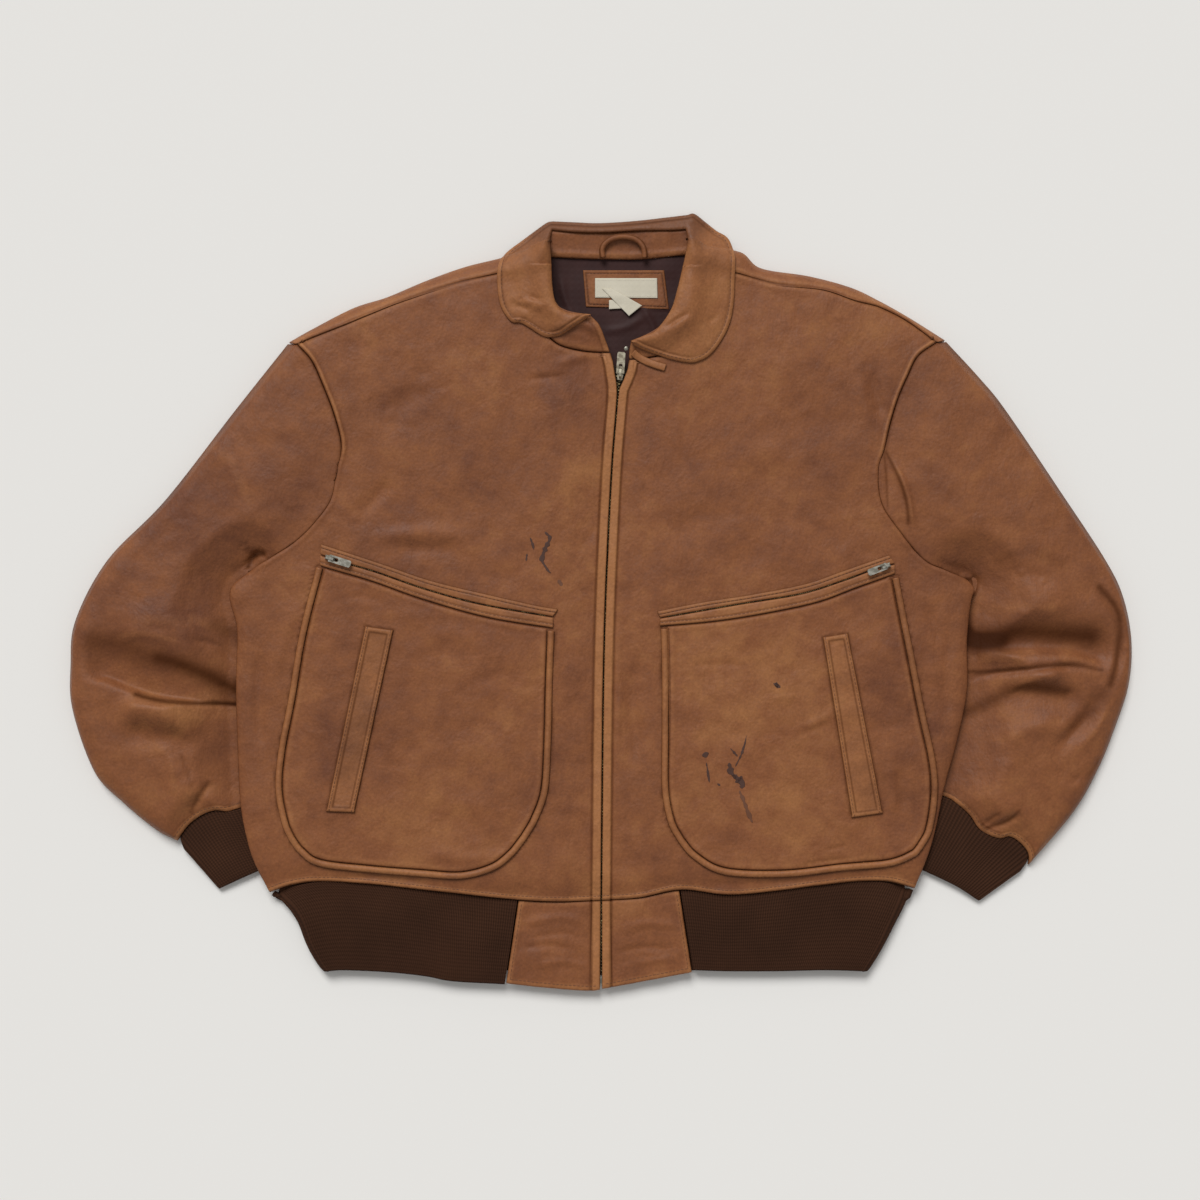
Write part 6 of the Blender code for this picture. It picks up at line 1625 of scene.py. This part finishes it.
def pocket_welts(side, sign, mouth):
    """Upper and lower strip of the pocket's zip, each with a rolled lip at the zip and a stitched edge."""
    shares = np.linspace(0, 1, 200)
    zip_line = along(curve(POCKET_ZIP[side]), shares)
    top_line = along(curve(POCKET_BAND_TOP[side])[::sign], shares)
    rows = np.linspace(0, 1, 24)
    for name, edge, up in (("upper", top_line, 1), ("lower", along(mouth, shares), -1)):
        start = zip_line + (0, up * ZIP_MOUTH / 2)
        grid = between(start, edge, rows)
        d_lip, d_edge = distance(grid, start), distance(grid, edge)
        level = front_top(grid) + ON_FRONT + WELT_WALL * (1 + 0.15 * np.sin(np.pi * rows)[None])
        level += 0.0009 * (rounded(d_lip, 0.002) - 1) + 0.001 * (rounded(d_edge, 0.0018) - 1)
        level -= 0.0004 * band(d_edge, 0.0036, 0.0007)
        full = on(grid, level)
        wear = 0.4 * band(d_edge, 0.0016, 0.002) + 0.3 * band(d_lip, 0.001, 0.002)
        dark = 0.6 * band(d_edge, 0, 0.0008) + 0.25 * band(d_edge, 0.0036, 0.0006)
        panel(f"leather_welt_{name}_{side}", full, WELT_WALL * 0.8, "tan", (wear, dark),
              [f"pocket_welt_{name}_{side}"])
        sew(f"stitches_welt_{name}_{side}", [inset_line(full, 0.0036)])
    line = along(zip_line, np.linspace(0.03, 0.97, 200))
    level = front_top(line) + ON_FRONT + 0.0004
    sew(f"zip_teeth_{side}", [on(line[None], level[None])[0]], 0.0017, 0.0006, "dark_metal")


def hand_welt(side):
    """Slanted strip with a raised frame whose stitches run along both long sides."""
    corners = plan(HAND_WELT[side], TOP_LEVEL)
    rows = np.r_[0, 0.004, 0.01, np.linspace(0.018, 0.982, 110), 0.99, 0.996, 1.0][:, None]
    near = corners[0] * (1 - rows) + corners[3] * rows
    far = corners[1] * (1 - rows) + corners[2] * rows
    grid = between(near, far, np.linspace(0, 1, 36))
    d_ends = np.minimum(distance(grid, corners[:2]), distance(grid, corners[2:]))
    d_sides = np.minimum(distance(grid, near[::8]), distance(grid, far[::8]))
    d = np.minimum(d_ends, d_sides)
    level = front_top(grid) + creases(grid, POCKET_CREASES) + 2 * ON_FRONT + 2 * PATCH_WALL
    level += 0.0009 * (rounded(d, 0.0018) - 1) + 0.0005 * band(d, 0.0018, 0.0014)
    level -= 0.0004 * ease((d - 0.0044) / 0.001)
    full = on(grid, level)
    marks = 0.5 * band(d, 0.0018, 0.002), 0.55 * band(d, 0.0046, 0.0007) + 0.5 * band(d, 0, 0.0007)
    panel(f"leather_hand_welt_{side}", full, PATCH_WALL, "tan", marks, [f"hand_welt_{side}"])
    sew(f"stitches_hand_welt_{side}", [inset_line(full, 0.0026), inset_line(full[:, ::-1], 0.0026)])


class JACKET_OT_pockets(bpy.types.Operator):
    """Piped patch pockets with their two zip welts and the slanted hand welts"""
    bl_idname = "jacket.pockets"
    bl_label = "Pockets"

    def execute(self, context):
        for side, sign in SIDES.items():
            pocket_piping(side)
            mouth = curve(POCKET_BAND_FOOT[side])[::sign]
            pocket_patch(side, sign, mouth)
            pocket_welts(side, sign, mouth)
            hand_welt(side)
        return {"FINISHED"}


def stain(index, path, width, strength):
    """Film that lies on the leather along a path; its width tapers to its ends and wanders."""
    line = along(curve(path, steps=8), np.linspace(0, 1, 50))
    across = np.linspace(0, 1, 9)
    share = np.linspace(0, 1, 50)
    wander = 1 + 0.55 * undulation(line, 0.0022, 17 + index)
    size = 2 * width * np.clip(np.sin(np.pi * share), 0.02, 1)**0.45 * wander
    normal = left_of(line)[:, None]
    sway = 0.25 * width * undulation(line, 0.0035, 41 + index)
    grid = line[:, None] + normal * sway[:, None, None] + normal * (size[:, None] * (across - 0.5))[..., None]
    pocket = path[0] > 660
    level = (patch_level(grid) if pocket else front_top(grid)) + 0.00012
    wall(f"stain_{index:02d}", on(grid, level), 0.00006, "stain" if strength > 0.5 else "faint_stain")


class JACKET_OT_stains(bpy.types.Operator):
    """Dark marks left by wear on the chest and the left pocket"""
    bl_idname = "jacket.stains"
    bl_label = "Stains"

    def execute(self, context):
        for index, (path, width, strength) in enumerate(STAINS):
            stain(index, path, MM * width, strength)
        return {"FINISHED"}


class JACKET_OT_zip(bpy.types.Operator):
    """Main zip: tape, teeth, and the metal of all sliders and pulls"""
    bl_idname = "jacket.zip"
    bl_label = "Zips"

    def execute(self, context):
        line = along(curve(ZIP_TAPE), refine(ZIP_TAPE_STEPS, 300))
        grid = strip_grid(line, ZIP_TAPE_WIDTH, np.linspace(0, 1, 9))
        full = on(grid, np.broadcast_to(zip_level(line)[:, None], grid.shape[:2]))
        panel("zip_tape_cloth", full, TAPE_WALL, "tape", None, ["zip_tape"])
        coil = on(line[None], zip_level(line)[None] + 0.0006)[0]
        pitch = context.scene.jacket_look.tooth_pitch
        count = int(lengths(coil)[-1] / pitch)
        shares = (np.arange(2 * count) + 0.5) / (2 * count)
        centre = along(coil, shares)
        hand = np.where(np.arange(2 * count) % 2, 1, -1)
        offset = np.stack([0.0012 * hand, 0 * hand, 0 * hand], axis=-1)
        reach = np.array([0.0022, 0.0008, 0.0008])
        square = (-1, -1), (1, -1), (1, 1), (-1, 1)
        corner = np.array([(x, y, z) for z in (-1, 1) for x, y in square], float)
        reach = reach * np.where(corner[:, 2:] > 0, 0.8, 1.0)
        points = (centre + offset)[:, None] + corner * reach
        one = np.array([[0, 3, 2, 1], [4, 5, 6, 7], [0, 1, 5, 4], [1, 2, 6, 5], [2, 3, 7, 6], [3, 0, 4, 7]])
        make("zip_teeth_main", points.reshape(-1, 3), repeated(one, 2 * count, 8), "dark_metal")
        metals = {"zip_slider": "brass", "zip_pull": "brass", "zip_box": "nickel"}
        metals.update({f"pocket_{part}_{side}": "nickel" for side in SIDES for part in ("slider", "pull")})
        for name, kind in metals.items():
            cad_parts[name].material_slots[0].material = finish(kind)
        return {"FINISHED"}


# Stage

LIGHT_FROM = (-0.25, 0.85, 0.95)


class JACKET_OT_stage(bpy.types.Operator):
    """Pale floor, soft studio light and the camera straight above"""
    bl_idname = "jacket.stage"
    bl_label = "Stage"

    def execute(self, context):
        look = context.scene.jacket_look
        side = np.array([(-4, -4, 0), (4, -4, 0), (4, 4, 0), (-4, 4, 0)], float) - (0, 0, look.floor_gap)
        mesh = bpy.data.meshes.new("floor")
        mesh.from_pydata(side.tolist(), [], [(0, 1, 2, 3)])
        made, tree, shader = new_material("matt_paper_backdrop")
        shader.inputs["Base Color"].default_value = look.floor_shade[:]
        shader.inputs["Roughness"].default_value = 0.9
        mesh.materials.append(made)
        floor = bpy.data.objects.new("floor", mesh)
        context.scene.collection.objects.link(floor)
        data = bpy.data.lights.new("softbox", "SUN")
        data.energy, data.angle = look.key_light, look.key_angle
        lamp = bpy.data.objects.new("softbox", data)
        lamp.rotation_mode = "QUATERNION"
        lamp.rotation_quaternion = Vector(LIGHT_FROM).to_track_quat("Z", "Y")
        context.scene.collection.objects.link(lamp)
        world = bpy.data.worlds.new("studio")
        world.use_nodes = True
        world.node_tree.nodes["Background"].inputs["Color"].default_value = (1, 1, 1, 1)
        world.node_tree.nodes["Background"].inputs["Strength"].default_value = look.sky
        context.scene.world = world
        context.scene.view_settings.view_transform = "Standard"
        data = bpy.data.cameras.new("camera")
        data.sensor_width = SENSOR
        data.lens = SENSOR * VIEW_HEIGHT / (PHOTO_SIDE * PX)
        camera = bpy.data.objects.new("camera", data)
        camera.location = (*SHIFT, VIEW_HEIGHT)
        context.scene.collection.objects.link(camera)
        context.scene.camera = camera
        return {"FINISHED"}


def shade(name, description, code):
    """Colour property whose default is given as an sRGB hex code."""
    return bpy.props.FloatVectorProperty(name=name, description=description, default=linear(code),
                                         subtype="COLOR", size=4, min=0, max=1)


def amount(name, description, default, **settings):
    """Number property."""
    return bpy.props.FloatProperty(name=name, description=description, default=default, **settings)


class JacketLook(bpy.types.PropertyGroup):
    leather_deep: shade("Leather, deep", "Red-brown where the dye is strongest", "#6C3E25")
    leather_mid: shade("Leather, middle", "Main brown of the body and sleeves", "#85502D")
    leather_light: shade("Leather, light", "Tan where the dye has rubbed off", "#9A6439")
    tan_deep: shade("Trim, deep", "Darkest brown of collar and welts", "#74472A")
    tan_mid: shade("Trim, middle", "Main tan of collar and welts", "#925C35")
    tan_light: shade("Trim, light", "Palest tan of collar and welts", "#A46E41")
    rubbed: shade("Rubbed edge", "Bare leather at seams and folds", "#A66E42")
    # Colour of the dark seams and of the painted shade in folds and under the collar
    seam_and_painted_shade: shade("Seam", "Dark line in the seams", "#3E2010")
    stain: shade("Stain", "Dark marks on the fronts", "#4A2A1C")
    faint_stain: shade("Faint stain", "Paler marks on the fronts", "#6B4026")
    knit_deep: shade("Knit, deep", "Darkest brown of the ribs", "#341E12")
    knit_light: shade("Knit, light", "Lightest brown of the ribs", "#4C2F1F")
    knit_groove: shade("Knit, groove", "Shade between the ribs", "#1F120A")
    thread: shade("Thread", "Sewing thread", "#6B3F24")
    floor_shade: shade("Floor", "Plain pale floor", "#EDEBE7")
    grain_mm: amount("Grain", "Size of a grain cell in millimetres", 2.6)
    rib_pitch: amount("Rib pitch", "Distance between knitted ribs", 0.0023, unit="LENGTH")
    rib_height: amount("Rib height", "How far a rib stands out", 0.0007, unit="LENGTH")
    stitch_pitch: amount("Stitch pitch", "Distance between stitches", 0.0036, unit="LENGTH")
    stitch_share: amount("Stitch share", "Visible part of the pitch", 0.78, subtype="FACTOR", min=0, max=1)
    thread_size: amount("Thread", "Thickness of the thread", 0.0006, unit="LENGTH")
    tooth_pitch: amount("Tooth pitch", "Distance between teeth of the main zip", 0.0028, unit="LENGTH")
    floor_gap: amount("Floor gap", "Floor's depth under the part", 0.0004, unit="LENGTH")
    key_light: amount("Key light", "Strength of the soft light", 2.3)
    key_angle: amount("Key softness", "Spread of the soft light", 0.5, subtype="ANGLE")
    sky: amount("Sky", "Brightness of the room", 0.38)


OPERATORS = (JACKET_OT_fronts, JACKET_OT_back, JACKET_OT_sleeves, JACKET_OT_knit, JACKET_OT_tabs,
             JACKET_OT_collar, JACKET_OT_neck, JACKET_OT_pockets, JACKET_OT_stains, JACKET_OT_zip,
             JACKET_OT_stage)


class JACKET_PT_panel(bpy.types.Panel):
    bl_label = "Leather blouson"
    bl_space_type = "VIEW_3D"
    bl_region_type = "UI"
    bl_category = "Jacket"

    def draw(self, context):
        look = context.scene.jacket_look
        for key in look.bl_rna.properties.keys():
            if key not in ("rna_type", "name"):
                self.layout.prop(look, key)
        for item in OPERATORS:
            self.layout.operator(item.bl_idname)


def register():
    for item in (JacketLook, *OPERATORS, JACKET_PT_panel):
        bpy.utils.register_class(item)
    bpy.types.Scene.jacket_look = bpy.props.PointerProperty(type=JacketLook)


def unregister():
    del bpy.types.Scene.jacket_look
    for item in (JACKET_PT_panel, *reversed(OPERATORS), JacketLook):
        bpy.utils.unregister_class(item)


def main():
    register()
    for item in OPERATORS:
        group, name = item.bl_idname.split(".")
        getattr(getattr(bpy.ops, group), name)()


if __name__ == "__main__":
    main()
